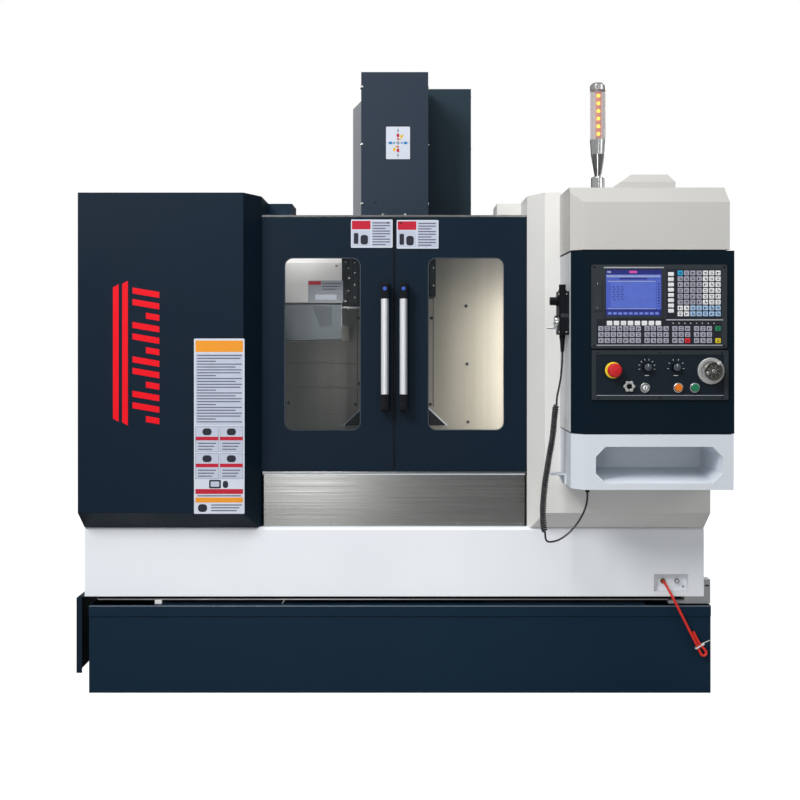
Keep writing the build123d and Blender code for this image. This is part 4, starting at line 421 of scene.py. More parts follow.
def rounded(width, height, r, steps=5):
    """Outline of a rectangle with round corners, about the origin."""
    points = []
    for corner, (sx, sy) in enumerate(((1, 1), (-1, 1), (-1, -1), (1, -1))):
        for step in range(steps + 1):
            angle = (corner + step / steps) * pi / 2
            points.append((sx * (width / 2 - r) + r * cos(angle), sy * (height / 2 - r) + r * sin(angle)))
    return points


class Piece:
    """One object of the scene, gathered from shapes that each have a material."""

    def __init__(self, name, body, slot):
        self.name = name
        self.body = body
        self.slot = slot
        self.mesh = bmesh.new()
        self.materials = []

    def take(self, part, matrix, material):
        bmesh.ops.transform(part, matrix=matrix, verts=part.verts)
        if material not in self.materials:
            self.materials.append(material)
        for face in part.faces:
            face.material_index = self.materials.index(material)
            face.smooth = True
        copy = bpy.data.meshes.new("part")
        part.to_mesh(copy)
        part.free()
        self.mesh.from_mesh(copy)
        bpy.data.meshes.remove(copy)

    def box(self, low, high, material, bevel=0.0):
        part = bmesh.new()
        bmesh.ops.create_cube(part, size=1.0)
        size = [b - a for a, b in zip(low, high)]
        centre = [(a + b) / 2 for a, b in zip(low, high)]
        bmesh.ops.transform(part, matrix=shift(*centre) @ Matrix.Diagonal((*size, 1)), verts=part.verts)
        if bevel:
            bmesh.ops.bevel(part, geom=list(part.edges), offset=bevel, segments=2, profile=0.6,
                            affect="EDGES", clamp_overlap=True)
        self.take(part, Matrix(), material)

    def prism(self, outline, height, matrix, material, bevel=0.0):
        """Raises a flat outline along local Z, with its far edges rounded by the bevel."""
        part = bmesh.new()
        face = part.faces.new([part.verts.new((x, y, 0)) for x, y in outline])
        raised = bmesh.ops.extrude_face_region(part, geom=[face])["geom"]
        top = [item for item in raised if isinstance(item, bmesh.types.BMVert)]
        bmesh.ops.translate(part, verts=top, vec=(0, 0, height))
        if bevel:
            edges = [edge for edge in part.edges if all(vert in top for vert in edge.verts)]
            bmesh.ops.bevel(part, geom=edges, offset=bevel, segments=2, profile=0.6, affect="EDGES",
                            clamp_overlap=True)
        bmesh.ops.recalc_face_normals(part, faces=part.faces)
        self.take(part, matrix, material)

    def turned(self, profile, matrix, material, steps=32):
        """Turns a profile of (radius, height) about local Z."""
        part = bmesh.new()
        rings = []
        for radius, height in profile:
            angles = [2 * pi * i / steps for i in range(1 if radius == 0 else steps)]
            rings.append([part.verts.new((radius * cos(angle), radius * sin(angle), height))
                          for angle in angles])
        for lower, upper in zip(rings, rings[1:]):
            for i in range(steps):
                j = (i + 1) % steps
                corners = []
                for ring, index in ((lower, i), (lower, j), (upper, j), (upper, i)):
                    vert = ring[index % len(ring)]
                    if vert not in corners:
                        corners.append(vert)
                if len(corners) > 2:
                    part.faces.new(corners)
        bmesh.ops.recalc_face_normals(part, faces=part.faces)
        self.take(part, matrix, material)

    def ring(self, outer, inner, height, matrix, material):
        """A flat frame between two outlines that have the same number of points."""
        part = bmesh.new()
        levels = []
        for outline, z in ((outer, 0), (outer, height), (inner, height), (inner, 0)):
            levels.append([part.verts.new((x, y, z)) for x, y in outline])
        for lower, upper in zip(levels, levels[1:] + levels[:1]):
            for i in range(len(outer)):
                j = (i + 1) % len(outer)
                part.faces.new([lower[i], lower[j], upper[j], upper[i]])
        bmesh.ops.recalc_face_normals(part, faces=part.faces)
        self.take(part, matrix, material)

    def tablet(self, width, height, r, rise, matrix, material, steps=3, bevel=0.0):
        """A low rectangle with round corners, about the origin of its matrix."""
        self.prism(rounded(width, height, r, steps), rise, matrix, material, bevel)

    def field(self, face, x0, x1, z0, z1, material, lift=0.0, r=0.0):
        """A flat printed field on a face, or one with round corners."""
        if r:
            self.tablet(x1 - x0, z1 - z0, r, INK, face @ shift((x0 + x1) / 2, (z0 + z1) / 2, lift), material)
            return
        self.prism([(x0, z0), (x1, z0), (x1, z1), (x0, z1)], INK, face @ shift(0, 0, lift), material)

    def plate(self, face, width, height):
        """The white sheet that printed fields lie on."""
        self.field(face @ Matrix.Diagonal((1, 1, 3, 1)), 0, width, 0, height, PLATE_WHITE, r=0.003)

    def screw(self, place, r=0.004, material=SCREW, facing=FACING_FRONT):
        """A pan-head screw with a round socket."""
        head = [(0, r * 0.25), (r * 0.42, r * 0.25), (r * 0.46, r * 0.62), (r * 0.8, r * 0.55), (r, r * 0.2),
                (r, 0)]
        self.turned(head, shift(*place) @ facing, material, 18)

    def screws(self, places, r=0.004, material=SCREW, facing=FACING_FRONT):
        for place in places:
            self.screw(place, r, material, facing)

    def done(self):
        data = bpy.data.meshes.new(self.name)
        self.mesh.to_mesh(data)
        self.mesh.free()
        for material in self.materials:
            data.materials.append(material)
        data.set_sharp_from_angle(angle=radians(35))
        item = add_object(self.name, data)
        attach(item, self.body)
        return item


def add_object(name, data):
    item = bpy.data.objects.new(name, data)
    bpy.context.scene.collection.objects.link(item)
    return item


# Cords
PULSE_CORD_UPPER = [
    (491.7, -693, 1058.7), (491.7, -693, 1041), (490.2, -692, 1015), (487.4, -692.5, 985),
    (482.0, -693, 955), (476.1, -693, 931),
]
PULSE_COIL = [
    (473.6, -693, 911), (468.6, -693, 871), (465.6, -693, 829), (460.2, -693, 790.7),
    (453.5, -693, 757), (448.5, -693, 722), (441.8, -693, 683.6), (437.7, -693, 643.4),
    (434.6, -693, 599.9), (435.5, -693, 562.4), (440.1, -693, 529.6),
]
PULSE_CORD_LOWER = [
    (442.4, -693, 513.2), (449, -693, 506), (463, -693, 506), (481, -693, 511), (500, -693, 523),
    (518, -693, 539), (535, -693, 559), (549, -693, 581), (559.5, -693, 605), (565, -693, 630),
    (565, -693, 651),
]
PULSE_CORD_R = 0.0029
COIL_TURNS = 54
COIL_STEPS = 12
COIL_R = 0.0069
HOSE = [
    (840.6, -455, 341), (840.6, -471, 341), (844, -487, 333), (853, -499, 314), (872, -504, 277),
    (892, -504, 237), (913, -503, 195), (929.5, -503, 163), (939, -502, 142.5), (945.3, -502, 129.8),
    (949.5, -502, 121.6), (959.4, -502, 121), (965, -502, 130), (956.5, -502, 142), (944, -502, 155),
    (932.5, -502, 176), (923.4, -502, 195),
]
HOSE_R = 0.004


def metres(points):
    return [Vector(point) * MM for point in points]


def nurbs(name, points, radius):
    curve = bpy.data.curves.new(name, "CURVE")
    curve.dimensions = "3D"
    curve.bevel_depth = radius
    curve.bevel_resolution = 4
    curve.resolution_u = 8
    curve.use_fill_caps = True
    spline = curve.splines.new("NURBS")
    spline.points.add(len(points) - 1)
    for point, place in zip(spline.points, points):
        point.co = (*place, 1)
    spline.order_u = 3
    spline.use_endpoint_u = True
    return add_object(name, curve)


def line_of(points):
    """The places along a smooth cord, read from its own spline."""
    item = nurbs("route", points, 0)
    bpy.context.view_layer.update()
    mesh = bpy.data.meshes.new_from_object(item)
    places = [vert.co.copy() for vert in mesh.vertices]
    bpy.data.meshes.remove(mesh)
    bpy.data.objects.remove(item)
    return places


def along(places, share):
    """Place and direction at a share of the way along a line."""
    lengths = [(b - a).length for a, b in zip(places, places[1:])]
    target = share * sum(lengths)
    for start, end, length in zip(places, places[1:], lengths):
        if target <= length:
            return start.lerp(end, target / length), (end - start).normalized()
        target -= length
    return places[-1], (places[-1] - places[-2]).normalized()


def coil_points():
    """Helix round the coil's route, tight at its ends and a little looser between."""
    places = line_of(metres(PULSE_COIL))
    points = []
    total = COIL_TURNS * COIL_STEPS
    for index in range(total + 1):
        share = index / total
        centre, direction = along(places, 0.012 + 0.976 * share)
        across = direction.cross(Vector((0, 1, 0))).normalized()
        deep = across.cross(direction)
        angle = 2 * pi * index / COIL_STEPS
        edge = min(index, total - index) / COIL_STEPS
        radius = COIL_R * min(1.0, 0.25 + edge) * (1 + 0.03 * sin(share * 41))
        points.append(centre + radius * (across * cos(angle) + deep * sin(angle)))
    return points


def pulse_cord():
    points = metres(PULSE_CORD_UPPER) + coil_points() + metres(PULSE_CORD_LOWER)
    item = nurbs("pulse_unit_cord", points, PULSE_CORD_R)
    item.data.resolution_u = 3
    item.data.materials.append(CORD_BLACK)
    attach(item, "machine")
    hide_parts("mpg_cord_upper", "mpg_cord_coil", "mpg_cord_lower")


def hose_tie():
    """A cable tie round the folded hose, with its head and cut tail."""
    piece = Piece("hose_tie", "machine", "white_paint")
    matrix = shift(0.9405, -0.502, 0.1495) @ turn_about("Y", -33)
    outer = rounded(0.027, 0.012, 0.0058, 6)
    inner = rounded(0.0246, 0.0096, 0.0047, 6)
    piece.ring(outer, inner, 0.004, matrix @ shift(0, 0, -0.002), TIE_WHITE)
    piece.tablet(0.007, 0.007, 0.001, 0.006, matrix @ shift(0.0145, -0.003, -0.003), TIE_WHITE, 2, 0.0006)
    tail = [(-0.014, -0.002), (0.008, -0.0026), (0.009, -0.0018), (0.009, 0.0012), (0.008, 0.002),
            (-0.014, 0.002)]
    piece.prism(tail, 0.0012, matrix @ shift(0.03, -0.003, -0.0006) @ turn_about("Y", 10), TIE_WHITE, 0.0003)
    return piece.done()


def air_hose():
    item = nurbs("air_hose_red", metres(HOSE), HOSE_R)
    item.data.materials.append(HOSE_RED)
    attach(item, "machine")
    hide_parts("air_hose")
    hose_tie()


# Doors and their handles
HANDLE_X = 0.029
HANDLE_WIDTH = 0.024
HANDLE_Z = (0.874, 1.274)
HANDLE_PROUD = 0.052
HANDLE_BAR = 0.025
HANDLE_CROWN = 0.006             # roundness of the bar's front
HANDLE_CAPS = (0.053, 0.0505)    # where the lower and the upper cap end at the front
HANDLE_REACH = (0.062, 0.052)    # and where they end on the door
WINDOW_CENTRE = (0.225, 1.0825)
WINDOW_SIZE = (0.238, 0.541)
WINDOW_R = 0.026
DOOR_PLATES = {"left": (-0.1358, -0.0052, 1.3848, 1.4733), "right": (0.0076, 0.1388, 1.382, 1.4717)}


def handle(side, sign):
    """Pull bar with black end caps and a round blue plug at its top; the bar's right side is a darker copy
    of its aluminium, a painted shade.
    """
    piece = Piece(f"{side}_pull_handle", f"door_{side}", "aluminium")
    x = sign * HANDLE_X
    half = HANDLE_WIDTH / 2
    front = DOOR_FRONT - HANDLE_PROUD
    bottom, top = HANDLE_Z
    low = bottom + HANDLE_CAPS[0]
    # The bar's right side takes the darker copy, painted shade
    for first, last, material in ((-6, 2, ALUMINIUM), (2, 6, BAR_PAINTED_SHADE)):
        crown = [(half * sin(angle), HANDLE_CROWN * (1 - cos(angle)) - HANDLE_BAR)
                 for angle in (radians(step * 15) for step in range(first, last + 1))]
        bar = crown + [(crown[-1][0], 0), (crown[0][0], 0)]
        piece.prism(bar, top - HANDLE_CAPS[1] - low, shift(x, front + HANDLE_BAR, low), material)
    back = HANDLE_BAR - HANDLE_PROUD
    for end, up, cap, reach in zip(HANDLE_Z, (1, -1), HANDLE_CAPS, HANDLE_REACH):
        outline = [(0, 0), (0.006 - HANDLE_PROUD, 0), (-HANDLE_PROUD, up * 0.006), (-HANDLE_PROUD, up * cap),
                   (back, up * cap), (back + 0.004, up * (reach - 0.012)), (0, up * reach)]
        piece.prism(outline, HANDLE_WIDTH, shift(x - half, DOOR_FRONT, end) @ SIDE_VIEW, BLACK, 0.0012)
    for z, radius, edge, proud, material in ((top - 0.02, 0.0064, 0.0006, 0.0016, BLUE_PLUG),
                                             (bottom + 0.018, 0.006, 0.0002, 0.0008, BLACK)):
        profile = [(0, proud), (0.0052, proud), (radius, edge), (radius, -0.001)]
        piece.turned(profile, on_front(x, front, z), material, 24)
    item = piece.done()
    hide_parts(f"{side}_handle")


def door_trim(side, sign):
    """Rim round the window, the strip where the doors meet, and the screws."""
    piece = Piece(f"{side}_door_trim", f"door_{side}", "cord_rubber")
    width, height = WINDOW_SIZE
    face = on_front(sign * WINDOW_CENTRE[0], DOOR_FRONT, WINDOW_CENTRE[1]) @ shift(0, 0, -0.003)
    outer = rounded(width + 0.001, height + 0.001, WINDOW_R + 0.0005, 8)
    inner = rounded(width - 0.004, height - 0.004, WINDOW_R - 0.002, 8)
    piece.ring(outer, inner, 0.0036, face, WINDOW_EDGE)
    low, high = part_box(f"{side}_door")
    x0, x1 = sorted((sign * 0.0002, sign * 0.0032))
    piece.box((x0, DOOR_FRONT - 0.0006, low[2] + 0.004), (x1, DOOR_FRONT + 0.004, high[2] - 0.004), RUBBER)
    places = rows_of((low[0] + 0.02, high[0] - 0.02), DOOR_FRONT, (low[2] + 0.018, high[2] - 0.018))
    piece.screws(places, 0.0032, DARK_SCREW)
    piece.done()


def door_plate(side):
    """Bare plate in fields of colour at the top of a door."""
    piece = Piece(f"{side}_door_plate", f"door_{side}", "white_paint")
    x0, x1, z0, z1 = DOOR_PLATES[side]
    width = x1 - x0
    height = z1 - z0
    middle = width * 0.47
    face = on_front(x0, DOOR_FRONT, z0)
    piece.plate(face, width, height)
    piece.field(face, 0.003, middle, height - 0.031, height - 0.004, PLATE_RED, STICKER)
    piece.field(face, 0.003, middle, 0.004, height - 0.034, PLATE_PALE, STICKER)
    piece.field(face, 0.009, 0.023, 0.012, 0.046, PLATE_DARK, OVER, 0.003)
    piece.field(face, 0.03, middle - 0.008, 0.01, 0.04, PLATE_DARK, OVER, 0.008)
    piece.field(face, middle + 0.003, width - 0.003, 0.004, height - 0.004, PLATE_PALE, STICKER)
    for row in range(9):
        short = 0.016 if row % 3 == 2 else 0.002
        z = height - 0.0125 - row * 0.0085
        piece.field(face, middle + 0.006, width - 0.006 - short, z, z + 0.0034, PLATE_TEXT, OVER)
    piece.done()


# Left housing decoration
STRIPES = ((-0.8575, -0.84, 0.8455, 1.2655), (-0.8295, -0.812, 0.834, 1.276))
STRIPE_SLANT = 0.01
BARS = 12
BARS_X = (-0.798, -0.716)
BARS_BOTTOM = 0.838
BAR_PITCH = 0.035
BAR_HEIGHT = 0.0185
BAR_RISE = 0.014
PLACARD = (-0.6103, -0.4563, 0.565, 1.0995)


def left_housing_marks():
    """Two upright stripes, and a column of plain slanted bars."""
    piece = Piece("left_housing_stripes", "machine", "red_plastic")
    face = on_front(0, HOUSING_FRONT, 0)
    for x0, x1, z0, z1 in STRIPES:
        outline = [(x0, z0 + STRIPE_SLANT), (x1, z0), (x1, z1), (x0, z1 - STRIPE_SLANT)]
        piece.prism(outline, STICKER, face, RED_STRIPE)
    x0, x1 = BARS_X
    for row in range(BARS):
        z0 = BARS_BOTTOM + row * BAR_PITCH
        start = x0 if row % 3 else (x0 + x1) / 2
        left = z0 + BAR_RISE * (x1 - start) / (x1 - x0)
        outline = [(start, left), (x1, z0), (x1, z0 + BAR_HEIGHT), (start, left + BAR_HEIGHT)]
        piece.prism(outline, STICKER, face, RED_STRIPE)
    piece.done()


def placard():
    """Plain placard in fields of colour."""
    piece = Piece("housing_placard", "machine", "white_paint")
    x0, x1, z0, z1 = PLACARD
    width = x1 - x0
    height = z1 - z0
    end = width - 0.0045
    face = on_front(x0, HOUSING_FRONT, z0)
    upper = OVER + INK

    def field(left, right, top, bottom, material, lift=STICKER, r=0.0):
        piece.field(face, left, right, height - bottom, height - top, material, lift, r)

    piece.plate(face, width, height)
    field(0.0045, end, 0.006, 0.041, PLATE_ORANGE)
    field(0.0045, end, 0.045, 0.264, PLATE_PALE)
    for row in range(24):
        top = 0.05 + row * 0.0088
        share = (1.0, 0.97, 0.42, 1.0, 0.86)[row % 5]
        field(0.009, 0.009 + (width - 0.017) * share, top, top + 0.0032, PLATE_TEXT, OVER)
    for left, right in ((0.0045, 0.0755), (0.0785, end)):
        middle = (left + right) / 2
        for top in (0.268, 0.35):
            field(left, right, top, top + 0.078, PLATE_TEXT)
            field(left + 0.0009, right - 0.0009, top + 0.0009, top + 0.0771, PLATE_PALE, OVER)
            field(middle - 0.014, middle + 0.014, top + 0.006, top + 0.027, PLATE_DARK, upper, 0.009)
            field(left + 0.001, right - 0.001, top + 0.0315, top + 0.0425, PLATE_RED, upper)
            for row in range(3):
                line = top + 0.05 + row * 0.009
                field(left + 0.008, right - 0.008 - row * 0.006, line, line + 0.0032, PLATE_TEXT, upper)
    field(0.046, 0.082, 0.431, 0.457, PLATE_DARK, r=0.004)
    field(0.051, 0.077, 0.436, 0.452, PLATE_PALE, OVER, 0.002)
    field(0.088, 0.104, 0.434, 0.456, PLATE_DARK, r=0.007)
    field(0.0045, end, 0.459, 0.474, PLATE_RED)
    field(0.01, width - 0.01, 0.478, 0.4815, PLATE_TEXT)
    field(0.0045, end, 0.485, 0.5, PLATE_ORANGE)
    field(0.012, 0.04, 0.505, 0.529, PLATE_DARK, r=0.01)
    for row in range(3):
        top = 0.506 + row * 0.0085
        field(0.052, width - 0.008 - row * 0.008, top, top + 0.0034, PLATE_TEXT)
    piece.done()


# Head and column covers
HEAD_PLATE = (0.0112, 1.7649)


def head_plate():
    """Plate with coloured markers along three axes on the head cover."""
    piece = Piece("axis_plate", "head", "white_paint")
    face = on_front(HEAD_PLATE[0], HEAD_COVER_FRONT, HEAD_PLATE[1])
    piece.tablet(0.0856, 0.1144, 0.003, 0.0004, face, BLACK)
    piece.tablet(0.0816, 0.1104, 0.002, 0.001, face, PLATE_WHITE)
    piece.field(face, -0.0395, 0.0395, -0.0004, 0.0004, PLATE_TEXT, 0.001)
    piece.field(face, -0.0004, 0.0004, -0.053, 0.053, PLATE_TEXT, 0.001)
    face = face @ shift(0, 0, 0.0012)
    for turn, material in ((0, PLATE_BLUE), (180, PLATE_BLUE), (90, PLATE_RED), (270, PLATE_RED),
                           (61, PLATE_YELLOW), (241, PLATE_YELLOW)):
        turned = face @ turn_about("Z", turn)
        piece.tablet(0.0125, 0.0088, 0.0036, 0.0003, turned @ shift(0.0255, 0, 0), material, 4)
        piece.tablet(0.006, 0.0052, 0.0012, 0.0003, turned @ shift(0.0135, 0, 0), material, 2)
    for turn in (90, 270):
        mark = face @ turn_about("Z", turn) @ shift(0.042, 0, 0)
        piece.tablet(0.006, 0.0052, 0.0012, 0.0003, mark, PLATE_TEXT, 2)
    piece.turned([(0.003, 0), (0.003, 0.0004), (0.0046, 0.0004), (0.0046, 0)], face, PLATE_TEXT, 20)
    piece.done()


def cover_screws():
    piece = Piece("head_cover_screws", "head", "ground_steel")
    low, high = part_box("head_cover")
    for z in (1.56, 1.761, 1.956):
        for y in (low[1] + 0.016, high[1] - 0.022):
            piece.screw((low[0], y, z), 0.0062, facing=FACING_LEFT)
            piece.screw((high[0], y, z), 0.0045, facing=FACING_RIGHT)
        piece.screw((low[0] + 0.0045, low[1], z), 0.004)
    piece.screws(rows_of((-0.0398, 0.0367), low[1], (1.5215,)), 0.0046)
    piece.screws(rows_of((-0.065, 0.064), low[1], (1.564,)), 0.003, DARK_SCREW)
    piece.done()
    piece = Piece("head_screws", "head", "ground_steel")
    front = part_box("head_casting")[0][1]
    for x in (-0.1315, 0.1315):
        piece.screws(rows_of((x,), front, (1.28, 1.339, 1.43)), 0.0042)
    piece.done()
    piece = Piece("column_cover_screws", "machine", "ground_steel")
    low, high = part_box("column_cover")
    for z in (1.6, 1.8, 1.99):
        for y in (low[1] + 0.03, high[1] - 0.03):
            piece.screw((high[0], y, z), 0.0042, DARK_SCREW, FACING_RIGHT)
    for x in (low[0] + 0.06, high[0] - 0.06):
        piece.screws(rows_of((x,), high[1], (1.61, 1.98)), 0.0042, DARK_SCREW, FACING_BACK)
    piece.done()


# Console
# Panes of the display: left, right, bottom and top as shares of it, material and layer
SCREEN_PANES = (
    (0.0, 1.0, 0.0, 0.135, LCD_DARK, 0),
    (0.0, 1.0, 0.9, 1.0, LCD_DARK, 0),
    (0.42, 0.56, 0.925, 0.975, LCD_RED, 1),
    (0.02, 0.09, 0.93, 0.97, LCD_LINE, 1),
    (0.01, 0.98, 0.835, 0.88, LCD_LINE, 0),
    (0.24, 0.74, 0.79, 0.82, LCD_DARK, 0),
    (0.03, 0.9, 0.735, 0.758, LCD_LINE, 0),
    (0.03, 0.9, 0.15, 0.165, LCD_LINE, 0),
    (0.92, 0.99, 0.15, 0.78, LCD_PALE, 0),
    (0.09, 0.9, 0.175, 0.725, LCD_PALE, 0),
)


def screen_picture():
    """Panes and lines on the display."""
    piece = Piece("screen_panes", "machine", "screen_blue")
    low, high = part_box("screen")
    width = high[0] - low[0]
    height = high[2] - low[2]

    def pane(left, right, bottom, top, material, layer):
        outline = [(left * width, bottom * height), (right * width, bottom * height),
                   (right * width, top * height), (left * width, top * height)]
        piece.prism(outline, 0.00012, on_front(*low) @ shift(0, 0, 0.0001 + layer * INK), material)

    for row in SCREEN_PANES:
        pane(*row)
    for row in range(6):
        step = 0.62 - row * 0.055
        for column in range(3):
            start = 0.12 + column * 0.075 + (row % 2) * 0.015
            pane(start, start + 0.035, step, step + 0.018, LCD_DARK, 1)
    for index in range(10):
        start = 0.03 + index * 0.095
        pane(start, start + 0.075, 0.02, 0.085, LCD_PALE, 1)
        pane(start + 0.015, start + 0.055, 0.042, 0.06, LCD_LINE, 2)
    for row in range(9):
        pane(0.935, 0.975, 0.2 + row * 0.06, 0.225 + row * 0.06, LCD_DARK, 1)
    piece.done()


# Each group of keys: first column, columns, pitch, first row, rows, pitch down, width, height
MDI_KEYS = (0.8098, 7, 0.0178, 1.2842, 8, 0.0165, 0.0147, 0.0136)
SOFT_KEYS = (0.7836, 1, 0.0, 1.281, 8, 0.0148, 0.0164, 0.0108)
FUNCTION_KEYS = (0.61, 8, 0.0197, 1.1424, 1, 0.0, 0.0155, 0.013)
LOWER_KEYS = [(x, columns, pitch, 1.1271, 3, 0.017, 0.0147, 0.0136) for x, columns, pitch in (
    (0.5857, 7, 0.0176), (0.716, 4, 0.0179), (0.7946, 3, 0.0179), (0.856, 3, 0.018))]
RED_KEY = (2, 2, 2)               # group, column and row
KEY_BASE = UNIT_FACE - 0.0014
KEY_RISE = 0.0009

# Short marks on the keys: offset across and up, width and height
KEY_MARKS = (
    ((0, 0.0018, 0.008, 0.002), (0.0006, -0.0022, 0.0056, 0.002)),
    ((-0.0006, 0.001, 0.0022, 0.0076), (0.0028, -0.001, 0.0024, 0.0048)),
    ((-0.0022, 0, 0.0032, 0.0066), (0.0028, 0.001, 0.0034, 0.0022)),
    ((0, 0.0026, 0.0084, 0.0018), (0, -0.002, 0.006, 0.0022)),
)


def mdi_colour(column, row):
    if row == 0 and column == 0:
        return KEY_CYAN
    if row > 5 and column > 1:
        return KEY_BLUE
    if column > 3 or row > 5:
        return KEY_WHITE
    return KEY_GREY


def key_tops():
    """Coloured key tops with short marks, and a row of small lamps."""
    piece = Piece("key_tops", "machine", "key_grey")

    def key(x, z, width, height, material, marks):
        face = on_front(x, KEY_BASE, z)
        piece.tablet(width, height, 0.0014, KEY_RISE, face, material, 3, 0.0005)
        for dx, dz, w, h in marks:
            piece.tablet(w, h, 0.0003, 0.0001, face @ shift(dx, dz, KEY_RISE), LEGEND, 1)

    def group(layout, colour, marks=KEY_MARKS):
        x0, columns, across, z0, rows, down, width, height = layout
        for column in range(columns):
            for row in range(rows):
                mark = marks[(column * 3 + row * 5) % len(marks)]
                key(x0 + column * across, z0 - row * down, width, height, colour(column, row), mark)

    group(MDI_KEYS, mdi_colour)
    for layout in (SOFT_KEYS, FUNCTION_KEYS):
        group(layout, lambda column, row: KEY_WHITE, ((),))
    for index, layout in enumerate(LOWER_KEYS):
        group(layout, lambda column, row: KEY_RED if (index, column, row) == RED_KEY else KEY_GREY)
    key(0.9165, 1.1271, 0.015, 0.0136, KEY_GREEN, KEY_MARKS[3])
    key(0.9165, 1.0931, 0.015, 0.0136, KEY_YELLOW, KEY_MARKS[0])
    for index in range(8):
        face = on_front(0.79 + index * 0.0165, UNIT_FACE - 0.0008, 1.142)
        piece.turned([(0, 0.0008), (0.0014, 0.0005), (0.0017, 0)], face, MARK, 12)
    piece.done()


# Folded edges of the control unit: left, right, bottom, top, material and how far they stand out
UNIT_EDGES = (
    (0.594, 0.764, 1.2975, 1.3015, PLATE_GREY, 0.0016),
    (0.594, 0.764, 1.156, 1.1585, UNIT_FRAME, 0.0022),
    (0.594, 0.598, 1.1585, 1.2975, UNIT_FRAME, 0.0022),
    (0.759, 0.7625, 1.1585, 1.2975, UNIT_FRAME, 0.0022),
    (0.77, 0.931, 1.15, 1.1535, PLATE_GREY, 0.0018),
    (0.574, 0.929, 1.0785, 1.0815, PLATE_GREY, 0.0018),
)


def unit_trim():
    piece = Piece("unit_trim", "machine", "panel_grey")
    low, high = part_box("cnc_unit")
    for x0, x1, z0, z1, material, proud in UNIT_EDGES:
        piece.box((x0, UNIT_FACE - proud, z0), (x1, UNIT_FACE, z1), material, 0.0005)
    corners = rows_of((low[0] + 0.008, high[0] - 0.008), UNIT_FACE, (low[2] + 0.007, high[2] - 0.007))
    piece.screws(corners, 0.003, DARK_SCREW)
    piece.screws(rows_of((0.5755,), UNIT_FACE - 0.002, (1.186, 1.254)), 0.0022)
    piece.done()


def console_side():
    """Pale sheet on the console's left side, behind its slanted corner."""
    piece = Piece("console_side_sheet", "machine", "white_paint")
    low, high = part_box("console_body")
    start = (low[0] - 0.0008, CONSOLE_FRONT + 0.036, low[2] + 0.002)
    piece.box(start, (low[0], HOUSING_FRONT, high[2] - 0.002), CORNER_GREY)
    piece.done()


def dial_faces():
    """Grey face and white pointer on each override knob."""
    for name in ("feed", "spindle"):
        piece = Piece(f"{name}_dial_face", f"{name}_dial", "black_plastic")
        face = front_of(f"{name}_knob")
        piece.turned([(0, 0.0004), (0.0096, 0.0004), (0.0104, 0)], face, DIAL_GREY, 28)
        piece.tablet(0.0016, 0.008, 0.0004, 0.0007, face @ shift(0, 0.0056, 0), MARK, 1)
        piece.done()


def wheel_face():
    """Dark hub plate, rings and crank knob of the console's handwheel."""
    piece = Piece("handwheel_face", "console_wheel", "chrome")
    face = front_of("panel_handwheel", 0.004)
    hub = [(0, 0.001), (0.0075, 0.001), (0.0085, 0.0016), (0.01, 0.001), (0.0225, 0.001),
           (0.0245, 0.0016), (0.0262, 0.0004), (0.0262, 0)]
    piece.turned(hub, face, WHEEL_DARK, 44)
    piece.turned([(0, 0.003), (0.0046, 0.003), (0.0056, 0.0022), (0.0056, 0.001)], face, STEEL, 24)
    crank = face @ shift(-0.0165, -0.0055, 0)
    piece.turned([(0, 0.0036), (0.003, 0.0036), (0.0044, 0.0024), (0.0044, 0)], crank, CHROME, 20)
    for index in range(8):
        spoke = face @ turn_about("Z", 22 + index * 45) @ shift(0.015, 0, 0.001)
        piece.tablet(0.0062, 0.0014, 0.0004, 0.0004, spoke, STEEL, 1)
    piece.done()


def key_face():
    piece = Piece("key_lock_face", "key_lock", "chrome")
    face = front_of("key_switch")
    piece.turned([(0, 0.0004), (0.0062, 0.0004), (0.0068, 0)], face, KEY_WHITE, 24)
    piece.tablet(0.0024, 0.0076, 0.0008, 0.0006, face, BLACK, 2)
    piece.done()


PANEL = (0.56, 0.947, 0.925, 1.066)
DIALS = ((0.7164, 1.018, 8, 210), (0.7982, 1.018, 6, 200))     # place, ticks and their sweep
TICK_R = 0.0222
ESTOP = (0.6205, 1.0094)
ESTOP_COLLAR = ((0.0232, 0.0038), (0.0232, 0.0046), (0.0222, 0.0052), (0.0136, 0.0052), (0.0136, 0.002))
BUTTONS = ((0.8045, 0.96), (0.8514, 0.96), (0.7108, 0.96))
BEZEL = ((0.0146, 0), (0.0146, 0.003), (0.0134, 0.0046), (0.0112, 0.005), (0.0108, 0.004), (0.0108, 0.002))
CONNECTOR = (0.6658, 0.9635)
CONNECTOR_RING = ((0.0136, 0), (0.0136, 0.0066), (0.0118, 0.0072), (0.0086, 0.0068), (0.0082, 0.001),
                  (0, 0.001))
LOBE = ((0.0049, 0), (0.0049, 0.006), (0.0038, 0.0072), (0, 0.0076))
LOBES = 6
LOBE_PLACE = 0.012


